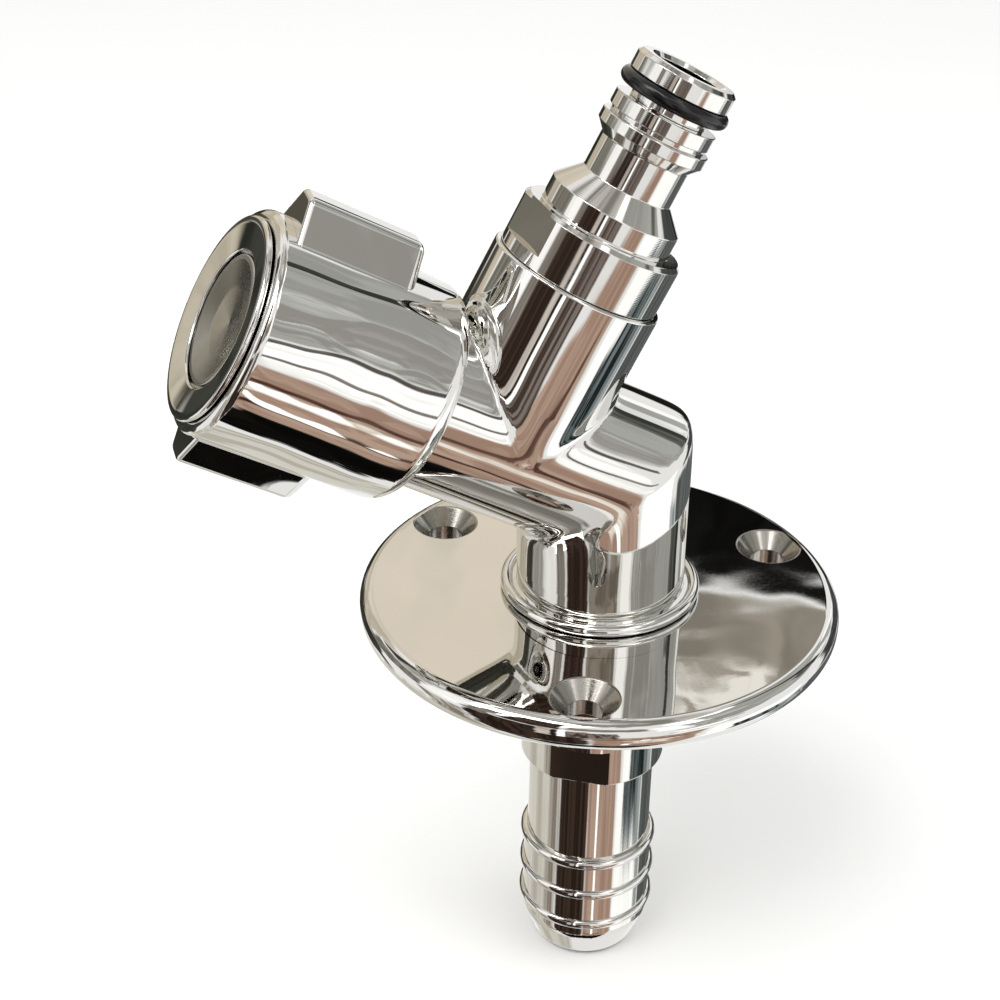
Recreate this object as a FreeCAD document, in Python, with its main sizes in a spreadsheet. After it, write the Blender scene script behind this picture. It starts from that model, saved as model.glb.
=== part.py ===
import FreeCAD, Part
import math
import os
import Sketcher

# Water spigot for a deck: column with an upward arm, a turning knob and a click-connector branch.
# Millimetres and degrees. The origin is the middle of the flange's underside, Z runs up the
# column, and the arm leans out towards -Y. Each piece is drawn on its own axis, then placed.

doc = FreeCAD.newDocument("WaterSpigot")
sheet = doc.addObject("Spreadsheet::Sheet", "Sizes")

DIMENSIONS = {
    # Body casting
    "tube_dia": 25.8,            # column and arm, outside
    "elbow_height": 25.7,        # where the column's and the arm's axes cross
    "arm_tilt": 28.5,            # arm above the horizontal, degrees
    "branch_over": 0.2,          # branch over the tube, on the diameter
    "branch_lean": 27.0,         # branch behind the vertical, degrees
    "branch_station": 19.3,      # branch along the arm, from the elbow
    "branch_height": 25.3,       # top of the branch above the arm's axis
    "bead_dia": 32.0,            # moulded ring at the column's foot
    "bead_section": 3.2,
    "shank_dia": 20.9,           # threaded foot that goes through the flange
    "shank_length": 13.0,
    "water_dia": 16.0,           # waterway up the column
    "throat_dia": 12.0,          # waterway from the elbow to the seat
    "chamber_dia": 19.0,
    "mouth_cover": 4.0,          # how far the arm reaches into the knob
    # Flange
    "flange_dia": 74.0,
    "flange_thick": 4.9,
    "flange_edge": 2.3,
    "flange_turn": -22.5,
    "screw_inset": 6.85,         # middle of each screw hole inside the rim
    "screw_hole": 5.4,
    "screw_sink": 10.1,
    "seal_section": 1.5,
    # Back nut
    "nut_wall": 3.05,            # thread to flats
    "nut_thick": 5.0,
    "nut_washer_width": 4.55,
    "nut_washer_thick": 1.0,
    # Hose tail
    "shank_wall": 2.15,          # shank outside to its inlet thread
    "inlet_reach": 10.0,
    "tail_washer_thick": 1.2,
    "tail_collar_dia": 22.9,
    "tail_collar_end": 25.4,     # below the flange's underside
    "tail_flats": 20.9,
    "tail_flats_length": 6.4,
    "tail_turn": -29.4,
    "tail_dia": 20.0,
    "spigot_wall": 2.05,         # inlet thread to the spigot's bore
    "barb_dia": 22.1,
    "barb_first": 42.2,          # first ridge below the flange's underside
    "barb_pitch": 6.2,
    "barb_half": 1.4,
    "barb_sink": 0.35,           # waist between two ridges
    "nose_drop": 2.6,            # last ridge to the start of the nose
    "nose_dia": 16.4,
    "nose_wall": 1.95,
    "tail_end": 62.8,
    # Click nipple, heights above the branch's top
    "nipple_thread": 19.6,
    "branch_bed": 12.8,          # nipple's washer above the arm's axis
    "nipple_bore": 10.0,
    "nipple_collar_dia": 24.5,
    "nipple_collar_height": 8.0,
    "nipple_flats": 22.5,
    "nipple_flats_low": 2.0,
    "nipple_turn": 10.0,
    "nipple_step_dia": 19.8,
    "nipple_step_top": 11.5,
    "neck_dia": 13.6,
    "neck_low": 14.7,
    "neck_top": 20.0,
    "latch_dia": 16.3,           # ring that the connector's balls catch behind
    "latch_low": 21.5,
    "latch_top": 23.2,
    "ring_dia": 15.4,
    "ring_low": 24.0,
    "ring_top": 26.2,
    "ring_gap_dia": 14.3,
    "tip_dia": 15.1,
    "tip_low": 29.7,
    "tip_top": 32.7,
    "tip_seal_dia": 16.8,
    "tip_seal_section": 2.7,
    "branch_washer_thick": 1.5,
    # Valve seat and valve
    "seat_station": 11.5,        # seat's lip along the arm, from the elbow
    "seat_thread": 16.0,
    "seat_thick": 5.0,
    "seat_hole": 9.4,
    "seat_lip_dia": 12.4,
    "seat_lip_height": 0.6,
    "washer_dia": 14.0,
    "washer_thick": 3.6,
    "washer_hole": 4.2,
    "washer_nut_flats": 7.0,
    "washer_nut_thick": 2.4,
    "carrier_head_dia": 15.4,
    "carrier_head_thick": 2.2,
    "carrier_flats": 12.0,
    "valve_travel": 4.0,
    # Headwork
    "bonnet_thread": 20.6,
    "bonnet_reach": 10.0,
    "bonnet_seal_thick": 1.0,
    "bonnet_collar_dia": 24.6,
    "bonnet_collar_thick": 1.2,
    "bonnet_flats": 22.0,
    "bonnet_hex_height": 4.0,
    "bonnet_snout_dia": 15.0,
    "bonnet_length": 13.8,       # seating face to the snout's end
    "bonnet_shoulder": 2.0,
    "spindle_dia": 8.0,
    "spindle_screw_dia": 7.8,
    "spindle_screw_length": 11.5,
    "spindle_collar_dia": 11.0,
    "spindle_collar_thick": 2.5,
    "thrust_thick": 1.0,
    "spindle_seal_section": 1.8,
    "spindle_seal_first": 6.2,
    "spindle_seal_pitch": 3.8,
    "clip_thick": 0.8,
    "clip_dia": 11.4,
    "clip_groove": 6.6,
    "clip_mouth": 4.4,
    "drive_flats": 6.4,
    "drive_length": 4.0,
    "screw_dia": 3.0,
    "screw_depth": 8.0,
    # Knob, lengths from its rear edge
    "knob_over": 6.9,            # knob over the tube, on the diameter
    "knob_length": 31.8,
    "knob_gap": 0.5,             # between the knob and the branch
    "knob_round": 2.9,
    "knob_wall": 2.2,
    "knob_lip": 3.0,
    "knob_web": 4.2,
    "knob_groove": 0.5,
    "lug_width": 11.4,
    "lug_crest": 4.4,
    "lug_height": 4.75,          # crest above the knob's round
    "lug_length": 18.3,
    "lug_set_back": 3.8,         # lug's face behind the knob's face
    "lug_round": 1.9,
    "front_ring_inset": 1.5,     # rim inside the knob's round
    "front_ring_thick": 2.2,
    "front_ring_edge": 0.9,
    "front_ring_face": 4.85,     # rim to window
    "front_ring_dish": 1.4,      # fall of its face from the rim to the window
    "front_ring_lip": 1.1,
    "front_ring_wall": 2.2,
    "insert_dish": 1.0,
    "insert_bend_dia": 9.6,      # where the dish changes its slope
    "insert_bend_drop": 0.75,
    "insert_thick": 0.7,
    "knob_screw_head": 6.4,
    "knob_screw_head_height": 2.0,
    "knob_screw_key": 2.1,
    "knob_screw_washer": 0.6,
    "bevel": 0.6,                # small bevels on turned pieces
    # Clearances
    "running": 0.05,             # radial, where one piece turns or slides in another
    "fitting": 0.1,              # radial, where a fixed piece goes in another
    "open_gap": 0.3,             # between pieces that must never touch
}

for row, (name, number) in enumerate(DIMENSIONS.items(), 1):
    sheet.set("A%d" % row, name.replace("_", " "))
    sheet.set("B%d" % row, str(number))
    sheet.setAlias("B%d" % row, name)
doc.recompute()


class Size:
    # A number together with the sheet expression that gives it
    def __init__(self, value, text):
        self.value = value
        self.text = text

    def __add__(self, other):
        other = as_size(other)
        return Size(self.value + other.value, "(%s + %s)" % (self.text, other.text))

    def __sub__(self, other):
        other = as_size(other)
        return Size(self.value - other.value, "(%s - %s)" % (self.text, other.text))

    def __mul__(self, other):
        other = as_size(other)
        return Size(self.value * other.value, "(%s * %s)" % (self.text, other.text))

    def __truediv__(self, other):
        other = as_size(other)
        return Size(self.value / other.value, "(%s / %s)" % (self.text, other.text))

    def __neg__(self):
        return self * -1

    def __radd__(self, other):
        return as_size(other) + self

    def __rsub__(self, other):
        return as_size(other) - self


def as_size(number):
    if isinstance(number, Size):
        return number
    return Size(float(number), "(%.6f)" % number)


def sine(angle):
    return Size(math.sin(math.radians(angle.value)), "sin(%s)" % angle.text)


def cosine(angle):
    return Size(math.cos(math.radians(angle.value)), "cos(%s)" % angle.text)


class Sizes:
    pass


s = Sizes()
for name in DIMENSIONS:
    setattr(s, name, Size(float(sheet.get(name)), "Sizes." + name))

# Sizes that follow another piece
s.branch_dia = s.tube_dia + s.branch_over
s.screw_circle = s.flange_dia - s.screw_inset * 2
s.nut_flats = s.shank_dia + s.nut_wall * 2
s.nut_washer_dia = s.shank_dia + s.nut_washer_width * 2
s.inlet_thread = s.shank_dia - s.shank_wall * 2
s.spigot_bore = s.inlet_thread - s.spigot_wall * 2
s.tail_bore = s.nose_dia - s.nose_wall * 2
s.nipple_reach = s.branch_height - s.branch_bed - s.branch_washer_thick
s.knob_dia = s.tube_dia + s.knob_over
s.lug_reach = s.knob_dia / 2 + s.lug_height
s.front_ring_dia = s.knob_dia - s.front_ring_inset * 2
s.front_ring_window = s.front_ring_dia - s.front_ring_face * 2

ZERO = as_size(0)

# Stations along the arm, from the elbow
skew = s.arm_tilt - s.branch_lean
knob_rear = (s.branch_station + s.knob_dia / 2 * sine(skew) / cosine(skew)
             + s.branch_dia / 2 / cosine(skew) + s.knob_gap)
arm_mouth = knob_rear + s.mouth_cover
bonnet_seat = arm_mouth + s.bonnet_seal_thick


def arm_point(station):
    # Point on the arm's axis: its Y and Z
    return -station * cosine(s.arm_tilt), s.elbow_height + station * sine(s.arm_tilt)


def branch_point(height):
    # Point on the branch's axis: its Y and Z
    foot_y, foot_z = arm_point(s.branch_station)
    return foot_y + height * sine(s.branch_lean), foot_z + height * cosine(s.branch_lean)


ARM_ANGLE = 90 - s.arm_tilt
BRANCH_ANGLE = -s.branch_lean


def seat(piece, point, angle, axis=(1, 0, 0)):
    # Turns a piece about an axis through its own origin and puts that origin at a point
    base_y, base_z = point
    piece.Placement = FreeCAD.Placement(
        FreeCAD.Vector(0, base_y.value, base_z.value),
        FreeCAD.Rotation(FreeCAD.Vector(*axis), angle.value))
    piece.setExpression(".Placement.Base.y", base_y.text)
    piece.setExpression(".Placement.Base.z", base_z.text)
    piece.setExpression(".Placement.Rotation.Angle", angle.text)


def on_column(piece, height=ZERO, turn=ZERO):
    seat(piece, (ZERO, height), turn, (0, 0, 1))


def on_arm(piece, station):
    seat(piece, arm_point(station), ARM_ANGLE)


def on_branch(piece, height):
    seat(piece, branch_point(height), BRANCH_ANGLE)


def new_body(label):
    body = doc.addObject("PartDesign::Body", label)
    body.Label = label
    return body


def origin_feature(body, role):
    return next(f for f in body.Origin.OriginFeatures if f.Role == role)


def outline(body, role, points, low=ZERO, turn=ZERO, shift=ZERO):
    # Closed sketch of straight lines; every corner is tied to the sheet
    sketch = body.newObject("Sketcher::SketchObject", "Outline")
    sketch.AttachmentSupport = [(origin_feature(body, role), "")]
    sketch.MapMode = "FlatFace"
    sketch.AttachmentOffset = FreeCAD.Placement(
        FreeCAD.Vector(shift.value, 0, low.value),
        FreeCAD.Rotation(FreeCAD.Vector(0, 0, 1), turn.value))
    sketch.setExpression(".AttachmentOffset.Base.x", shift.text)
    sketch.setExpression(".AttachmentOffset.Base.z", low.text)
    sketch.setExpression(".AttachmentOffset.Rotation.Angle", turn.text)
    corners = [(as_size(x), as_size(y)) for x, y in points]
    count = len(corners)
    for i in range(count):
        start = FreeCAD.Vector(corners[i][0].value, corners[i][1].value, 0)
        end = FreeCAD.Vector(corners[(i + 1) % count][0].value, corners[(i + 1) % count][1].value, 0)
        sketch.addGeometry(Part.LineSegment(start, end), False)
    for i in range(count):
        sketch.addConstraint(Sketcher.Constraint("Coincident", i, 2, (i + 1) % count, 1))
    for i, (x, y) in enumerate(corners):
        tie(sketch, i, "DistanceX", x, -2)
        tie(sketch, i, "DistanceY", y, -1)
    return sketch


def tie(sketch, corner, kind, distance, axis):
    # A corner that lies on an axis is held to it; any other one has its distance
    if distance.value == 0:
        sketch.addConstraint(Sketcher.Constraint("PointOnObject", corner, 1, axis))
        return
    index = sketch.addConstraint(Sketcher.Constraint(kind, -1, 1, corner, 1, distance.value))
    sketch.setExpression("Constraints[%d]" % index, distance.text)


def revolve(body, points):
    # Half section as (radius, height) pairs, turned once round the body's axis
    feature = body.newObject("PartDesign::Revolution", "Turned")
    feature.Profile = outline(body, "XZ_Plane", points)
    feature.ReferenceAxis = (feature.Profile[0], ["V_Axis"])
    feature.Angle = 360
    doc.recompute()
    return feature


def turned(label, points):
    body = new_body(label)
    revolve(body, points)
    return body


def turned_hole(body, points, distance):
    # Hole turned about an axis beside the body's own
    before = body.Shape.Volume
    feature = body.newObject("PartDesign::Groove", "TurnedHole")
    feature.Profile = outline(body, "XZ_Plane", points, shift=distance)
    feature.ReferenceAxis = (feature.Profile[0], ["V_Axis"])
    feature.Angle = 360
    doc.recompute()
    check_cut(body, before)
    return feature


def bored(body, diameter, low, high):
    # Round hole on the body's own axis
    radius = diameter / 2
    return turned_hole(body, [(ZERO, low), (radius, low), (radius, high), (ZERO, high)], ZERO)


def pad(body, points, low, height):
    feature = body.newObject("PartDesign::Pad", "Pad")
    feature.Profile = outline(body, "XY_Plane", points, low)
    feature.Length = height.value
    feature.setExpression("Length", height.text)
    doc.recompute()
    return feature


def pocket(body, points, low, height, turn=ZERO):
    # Cuts upwards from the given height
    before = body.Shape.Volume
    feature = body.newObject("PartDesign::Pocket", "Pocket")
    feature.Profile = outline(body, "XY_Plane", points, low, turn)
    feature.Length = height.value
    feature.setExpression("Length", height.text)
    feature.Reversed = True
    doc.recompute()
    check_cut(body, before)
    return feature


def check_cut(body, before):
    if not body.Shape.Volume < before:
        raise RuntimeError("%s: a cut removed nothing" % body.Label)


def repeat(body, features, count):
    # Copies of features round the body's axis
    feature = body.newObject("PartDesign::PolarPattern", "Repeat")
    feature.Originals = features
    feature.Axis = (origin_feature(body, "Z_Axis"), [""])
    feature.Angle = 360
    feature.Occurrences = count
    body.Tip = feature
    doc.recompute()
    return feature


def dress(body, kind, edges, size_name, size):
    # Fillet or chamfer on the named edges of the body's last feature
    base = body.Tip
    feature = body.newObject("PartDesign::" + kind, kind)
    feature.Base = (base, edges)
    setattr(feature, size_name, size.value)
    feature.setExpression(size_name, size.text)
    doc.recompute()
    return feature


def rims(body, places):
    # Names of the round edges at (radius, height) places on the body's axis
    names = []
    for index, edge in enumerate(body.Tip.Shape.Edges, 1):
        curve = edge.Curve
        if not isinstance(curve, Part.Circle):
            continue
        for radius, height in places:
            near_radius = abs(curve.Radius - radius.value) < 1e-4
            near_height = abs(curve.Center.z - height.value) < 1e-4
            if near_radius and near_height and math.hypot(curve.Center.x, curve.Center.y) < 1e-4:
                names.append("Edge%d" % index)
    if len(names) < len(places):
        raise RuntimeError("%s: a rim is missing" % body.Label)
    return names


def round_rims(body, size, places):
    return dress(body, "Fillet", rims(body, places), "Radius", size)


def bevel_rims(body, size, places):
    return dress(body, "Chamfer", rims(body, places), "Size", size)


def polygon(flats, sides):
    # Corners of a regular polygon, flat side towards +X
    corners = []
    for i in range(sides):
        angle = math.pi * (2 * i + 1) / sides
        reach = 0.5 / math.cos(math.pi / sides)
        corners.append((flats * (reach * math.cos(angle)), flats * (reach * math.sin(angle))))
    return corners


def slab(inner, outer, half):
    # Rectangle on the +X side, for cutting one flat
    return [(inner, -half), (outer, -half), (outer, half), (inner, half)]


def ring(label, inner_dia, outer_dia, thick):
    # Flat washer that stands on its origin
    return turned(label, [(inner_dia / 2, ZERO), (outer_dia / 2, ZERO),
                          (outer_dia / 2, thick), (inner_dia / 2, thick)])


def o_ring(label, outer_dia, section):
    piece = doc.addObject("Part::Torus", label)
    piece.Label = label
    piece.setExpression("Radius1", (outer_dia / 2 - section / 2).text)
    piece.setExpression("Radius2", (section / 2).text)
    return piece


# Body casting: mitred tube, branch, bead and threaded shank, hollowed for the water

def rod(name, diameter, length, place, *where):
    # Plain cylinder along an axis; place is one of the seating functions
    piece = doc.addObject("Part::Cylinder", name)
    piece.setExpression("Radius", (diameter / 2).text)
    piece.setExpression("Height", length.text)
    place(piece, *where)
    return piece


def boolean(kind, name, base, tool):
    piece = doc.addObject("Part::" + kind, name)
    piece.Base = base
    piece.Tool = tool
    return piece


def joined(name, shapes):
    piece = doc.addObject("Part::MultiFuse", name)
    piece.Shapes = shapes
    return piece


def half_space(name):
    # Block above the plane where the column and the arm meet, halfway between their axes
    side = s.tube_dia * 6
    angle = ARM_ANGLE / 2
    piece = doc.addObject("Part::Box", name)
    for edge in ("Length", "Width", "Height"):
        piece.setExpression(edge, side.text)
    seat(piece, (-side / 2 * cosine(angle), s.elbow_height - side / 2 * sine(angle)), angle)
    piece.setExpression(".Placement.Base.x", (-side / 2).text)
    return piece


def make_body_casting():
    overlap = s.tube_dia
    column = boolean(
        "Cut", "Column",
        rod("ColumnRod", s.tube_dia, s.elbow_height - s.flange_thick + overlap, on_column, s.flange_thick),
        half_space("AboveMitre"))
    arm = boolean(
        "Common", "Arm",
        rod("ArmRod", s.tube_dia, arm_mouth + overlap, on_arm, -overlap),
        half_space("BeyondMitre"))
    branch = rod("Branch", s.branch_dia, s.branch_height, on_branch, ZERO)
    bead = o_ring("Bead", s.bead_dia, s.bead_section)
    on_column(bead, s.flange_thick + s.bead_section / 2)
    shank = rod("Shank", s.shank_dia, s.shank_length + s.flange_thick + s.bead_section, on_column,
                -s.shank_length)
    foot = rod("Foot", s.bead_dia - s.bead_section, s.bead_section / 2, on_column, s.flange_thick)
    solid = joined("CastOutside", [column, arm, branch, bead, foot, shank])

    socket_top = s.inlet_reach + s.fitting - s.shank_length
    elbow = doc.addObject("Part::Sphere", "ElbowRoom")
    elbow.setExpression("Radius", (s.water_dia / 2).text)
    on_column(elbow, s.elbow_height)
    partition_start = s.seat_station - s.seat_lip_height - s.seat_thick
    chamber_start = s.seat_station - s.seat_lip_height
    thread_start = arm_mouth - s.bonnet_reach - s.fitting
    washer_bed = s.branch_height - s.nipple_reach - s.branch_washer_thick
    voids = joined("CastInside", [
        rod("InletSocket", s.inlet_thread + s.fitting * 2, s.inlet_reach + s.fitting, on_column,
            -s.shank_length),
        rod("ColumnBore", s.water_dia, s.elbow_height - socket_top, on_column, socket_top),
        elbow,
        rod("Throat", s.throat_dia, partition_start, on_arm, ZERO),
        rod("SeatBore", s.seat_thread, s.seat_thick, on_arm, partition_start),
        rod("Chamber", s.chamber_dia, thread_start - chamber_start, on_arm, chamber_start),
        rod("BonnetSocket", s.bonnet_thread + s.fitting * 2, arm_mouth - thread_start, on_arm, thread_start),
        rod("BranchBore", s.throat_dia, s.branch_height, on_branch, ZERO),
        rod("NippleSocket", s.nipple_thread + s.fitting * 2, s.branch_height - washer_bed, on_branch,
            washer_bed),
    ])
    casting = boolean("Cut", "body_casting", solid, voids)
    casting.Label = "body_casting"
    casting.Refine = True
    doc.recompute()
    return casting


# Flange and what clamps it

def make_flange_plate():
    bore = s.shank_dia / 2 + s.fitting
    seal_inner = bore + s.fitting
    seal_outer = seal_inner + s.seal_section
    bed = s.flange_thick - s.seal_section
    body = turned("flange_plate", [
        (bore, ZERO), (s.flange_dia / 2, ZERO), (s.flange_dia / 2, s.flange_thick),
        (seal_outer, s.flange_thick), (seal_outer, bed), (bore, bed)])
    round_rims(body, s.flange_edge, [(s.flange_dia / 2, ZERO), (s.flange_dia / 2, s.flange_thick)])
    sink_depth = (s.screw_sink - s.screw_hole) / 2
    hole = turned_hole(body, [
        (ZERO, -s.fitting), (s.screw_hole / 2, -s.fitting), (s.screw_hole / 2, s.flange_thick - sink_depth),
        (s.screw_sink / 2, s.flange_thick), (s.screw_sink / 2, s.flange_thick + s.fitting),
        (ZERO, s.flange_thick + s.fitting)], s.screw_circle / 2)
    repeat(body, [hole], 3)
    on_column(body, turn=s.flange_turn)
    return body


def make_flange_seal():
    seal_inner = s.shank_dia / 2 + s.fitting * 2
    piece = o_ring("flange_seal", (seal_inner + s.seal_section) * 2, s.seal_section)
    on_column(piece, s.flange_thick - s.seal_section / 2)
    return piece


def make_nut_washer():
    piece = ring("nut_washer", s.shank_dia + s.fitting * 2, s.nut_washer_dia, s.nut_washer_thick)
    on_column(piece, -s.nut_washer_thick)
    return piece


def make_back_nut():
    body = new_body("back_nut")
    pad(body, polygon(s.nut_flats, 6), ZERO, s.nut_thick)
    bored(body, s.shank_dia + s.running * 2, ZERO, s.nut_thick)
    on_column(body, -s.nut_washer_thick - s.nut_thick)
    return body


# Hose tail

def make_tail_washer():
    piece = ring("tail_washer", s.inlet_thread + s.fitting * 2, s.shank_dia, s.tail_washer_thick)
    on_column(piece, -s.shank_length - s.tail_washer_thick)
    return piece


def make_hose_tail():
    spigot = s.inlet_thread / 2
    collar = s.tail_collar_dia / 2
    plain = s.tail_dia / 2
    collar_top = -s.shank_length - s.tail_washer_thick
    points = [(s.spigot_bore / 2, s.inlet_reach - s.shank_length), (spigot, s.inlet_reach - s.shank_length),
              (spigot, collar_top), (collar, collar_top), (collar, -s.tail_collar_end),
              (plain, -s.tail_collar_end)]
    ridges = []
    for i in range(3):
        crest = -s.barb_first - s.barb_pitch * i
        waist = plain if i == 0 else plain - s.barb_sink
        points += [(waist, crest + s.barb_half), (s.barb_dia / 2, crest),
                   (plain - s.barb_sink, crest - s.barb_half)]
        ridges.append((s.barb_dia / 2, crest))
    nose_start = -s.barb_first - s.barb_pitch * 2 - s.nose_drop
    points += [(plain - s.barb_sink, nose_start), (s.nose_dia / 2, -s.tail_end), (s.tail_bore / 2, -s.tail_end),
               (s.tail_bore / 2, -s.tail_collar_end)]
    body = turned("hose_tail", points)
    round_rims(body, s.barb_half / 2, ridges)
    round_rims(body, s.nose_drop, [(plain - s.barb_sink, nose_start)])
    flat = pocket(body, slab(s.tail_flats / 2, s.tail_collar_dia, s.tail_collar_dia),
                  -s.tail_collar_end, s.tail_flats_length)
    repeat(body, [flat], 2)
    on_column(body, turn=s.tail_turn)
    return body


# Click nipple on the branch

def make_nipple_washer():
    piece = ring("nipple_washer", s.throat_dia, s.nipple_thread, s.branch_washer_thick)
    on_branch(piece, s.branch_height - s.nipple_reach - s.branch_washer_thick)
    return piece


def make_quick_nipple():
    bore = s.nipple_bore / 2
    collar = s.nipple_collar_dia / 2
    groove = (s.tip_seal_dia - s.tip_seal_section * 2) / 2
    body = turned("quick_nipple", [
        (bore, -s.nipple_reach), (s.nipple_thread / 2, -s.nipple_reach), (s.nipple_thread / 2, ZERO),
        (collar, ZERO), (collar, s.nipple_collar_height),
        (s.nipple_step_dia / 2, s.nipple_collar_height), (s.nipple_step_dia / 2, s.nipple_step_top),
        (s.neck_dia / 2, s.neck_low), (s.neck_dia / 2, s.neck_top),
        (s.latch_dia / 2, s.latch_low), (s.latch_dia / 2, s.latch_top),
        (s.ring_gap_dia / 2, s.latch_top), (s.ring_gap_dia / 2, s.ring_low),
        (s.ring_dia / 2, s.ring_low), (s.ring_dia / 2, s.ring_top),
        (groove, s.ring_top), (groove, s.tip_low),
        (s.tip_dia / 2, s.tip_low), (s.tip_dia / 2, s.tip_top), (bore, s.tip_top)])
    bevel_rims(body, s.bevel, [(s.tip_dia / 2, s.tip_top), (collar, s.nipple_collar_height),
                                     (bore, s.tip_top)])
    flat = pocket(body, slab(s.nipple_flats / 2, s.nipple_collar_dia, s.nipple_collar_dia),
                  s.nipple_flats_low, s.nipple_collar_height - s.nipple_flats_low, 90 + s.nipple_turn)
    repeat(body, [flat], 2)
    on_branch(body, s.branch_height)
    return body


def make_nipple_tip_seal():
    piece = o_ring("nipple_tip_seal", s.tip_seal_dia, s.tip_seal_section)
    on_branch(piece, s.branch_height + (s.ring_top + s.tip_low) / 2)
    return piece


# Valve: seat, washer and the carrier that slides in the headwork

def make_seat_ring():
    lip_base = s.seat_thick
    body = turned("seat_ring", [
        (s.seat_hole / 2, ZERO), (s.seat_thread / 2, ZERO), (s.seat_thread / 2, lip_base),
        (s.seat_lip_dia / 2, lip_base), (s.seat_lip_dia / 2 - s.seat_lip_height / 2, lip_base + s.seat_lip_height),
        (s.seat_hole / 2, lip_base + s.seat_lip_height)])
    on_arm(body, s.seat_station - s.seat_lip_height - s.seat_thick)
    return body


def make_valve_washer():
    piece = ring("valve_washer", s.washer_hole, s.washer_dia, s.washer_thick)
    on_arm(piece, s.seat_station)
    return piece


def make_washer_nut():
    body = new_body("washer_nut")
    pad(body, polygon(s.washer_nut_flats, 6), ZERO, s.washer_nut_thick)
    bored(body, s.washer_hole, ZERO, s.washer_nut_thick)
    on_arm(body, s.seat_station - s.washer_nut_thick)
    return body


def carrier_end():
    # Outer end of the carrier with the valve closed
    collar_under = bonnet_seat + thrust_low() - s.spindle_collar_thick
    return collar_under - s.valve_travel - s.open_gap


def make_valve_carrier():
    head_start = s.washer_thick
    head_end = head_start + s.carrier_head_thick
    length = carrier_end() - s.seat_station
    stud = s.washer_hole / 2 - s.running
    body = turned("valve_carrier", [
        (ZERO, -s.washer_nut_thick), (stud, -s.washer_nut_thick), (stud, head_start),
        (s.carrier_head_dia / 2, head_start), (s.carrier_head_dia / 2, head_end), (ZERO, head_end)])
    pad(body, polygon(s.carrier_flats, 6), head_end, length - head_end)
    depth = (spindle_inner_end() - s.valve_travel - s.open_gap) - s.seat_station
    bored(body, s.spindle_screw_dia + s.running * 2, depth, length)
    on_arm(body, s.seat_station)
    return body


# Headwork: bonnet, spindle and their seals

def spindle_inner_end():
    return bonnet_seat + thrust_low() - s.spindle_collar_thick - s.spindle_screw_length


def make_bonnet_seal():
    piece = ring("bonnet_seal", s.bonnet_thread + s.fitting * 2, s.bonnet_collar_dia, s.bonnet_seal_thick)
    on_arm(piece, arm_mouth)
    return piece


def make_bonnet():
    thread = s.bonnet_thread / 2
    low = -s.bonnet_seal_thick - s.bonnet_reach
    hex_start = s.bonnet_collar_thick
    hex_end = hex_start + s.bonnet_hex_height
    bore = s.spindle_dia / 2 + s.running
    body = turned("bonnet", [
        (bore, low), (thread, low), (thread, ZERO), (s.bonnet_collar_dia / 2, ZERO),
        (s.bonnet_collar_dia / 2, hex_start), (s.bonnet_snout_dia / 2, hex_start),
        (s.bonnet_snout_dia / 2, s.bonnet_length), (bore, s.bonnet_length)])
    bevel_rims(body, s.bevel, [(s.bonnet_snout_dia / 2, s.bonnet_length), (thread, low)])
    pad(body, polygon(s.bonnet_flats, 6), hex_start, hex_end - hex_start)
    bored(body, s.spindle_dia + s.running * 2, hex_start, hex_end)
    pocket(body, polygon(s.carrier_flats + s.running * 2, 6), low, s.bonnet_shoulder - low)
    on_arm(body, bonnet_seat)
    return body


def thrust_low():
    # The ring turns with the spindle, just clear of the bonnet's shoulder
    return s.bonnet_shoulder - s.running - s.thrust_thick


def make_thrust_ring():
    piece = ring("thrust_ring", s.spindle_dia + s.running * 2, s.spindle_collar_dia, s.thrust_thick)
    on_arm(piece, bonnet_seat + thrust_low())
    return piece


def spindle_seal_height(index):
    return s.spindle_seal_first + s.spindle_seal_pitch * index


def make_spindle():
    shaft = s.spindle_dia / 2
    screw = s.spindle_screw_dia / 2
    collar_top = thrust_low()
    collar_low = collar_top - s.spindle_collar_thick
    points = [(ZERO, collar_low - s.spindle_screw_length), (screw, collar_low - s.spindle_screw_length),
              (screw, collar_low), (s.spindle_collar_dia / 2, collar_low),
              (s.spindle_collar_dia / 2, collar_top), (shaft, collar_top)]
    seal_groove = shaft + s.running / 2 - s.spindle_seal_section
    half_groove = s.spindle_seal_section / 2 + s.fitting
    for i in range(2):
        middle = spindle_seal_height(i)
        points += [(shaft, middle - half_groove), (seal_groove, middle - half_groove),
                   (seal_groove, middle + half_groove), (shaft, middle + half_groove)]
    clip_low = s.bonnet_length + s.running
    clip_top = clip_low + s.clip_thick + s.running
    end = drive_start() + s.drive_length
    points += [(shaft, clip_low), (s.clip_groove / 2, clip_low), (s.clip_groove / 2, clip_top),
               (shaft, clip_top), (shaft, end), (s.screw_dia / 2, end),
               (s.screw_dia / 2, end - s.screw_depth), (ZERO, end - s.screw_depth)]
    body = turned("spindle", points)
    flat = pocket(body, slab(s.drive_flats / 2, s.spindle_dia, s.spindle_dia), drive_start(), s.drive_length)
    repeat(body, [flat], 4)
    on_arm(body, bonnet_seat)
    return body


def drive_start():
    # Above the bonnet's seating face
    return s.bonnet_length + s.clip_thick + s.open_gap * 2


def make_spindle_seal(index):
    label = ("spindle_seal_inner", "spindle_seal_outer")[index]
    piece = o_ring(label, s.spindle_dia + s.running, s.spindle_seal_section)
    on_arm(piece, bonnet_seat + spindle_seal_height(index))
    return piece


def make_spindle_clip():
    inner = s.clip_groove + s.running * 2
    body = ring("spindle_clip", inner, s.clip_dia, s.clip_thick)
    pocket(body, slab(ZERO, s.clip_dia, s.clip_mouth / 2), ZERO, s.clip_thick)
    on_arm(body, bonnet_seat + s.bonnet_length + s.running)
    return body


# Knob: shell with two lugs, front ring and dished insert, screwed on the spindle

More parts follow.
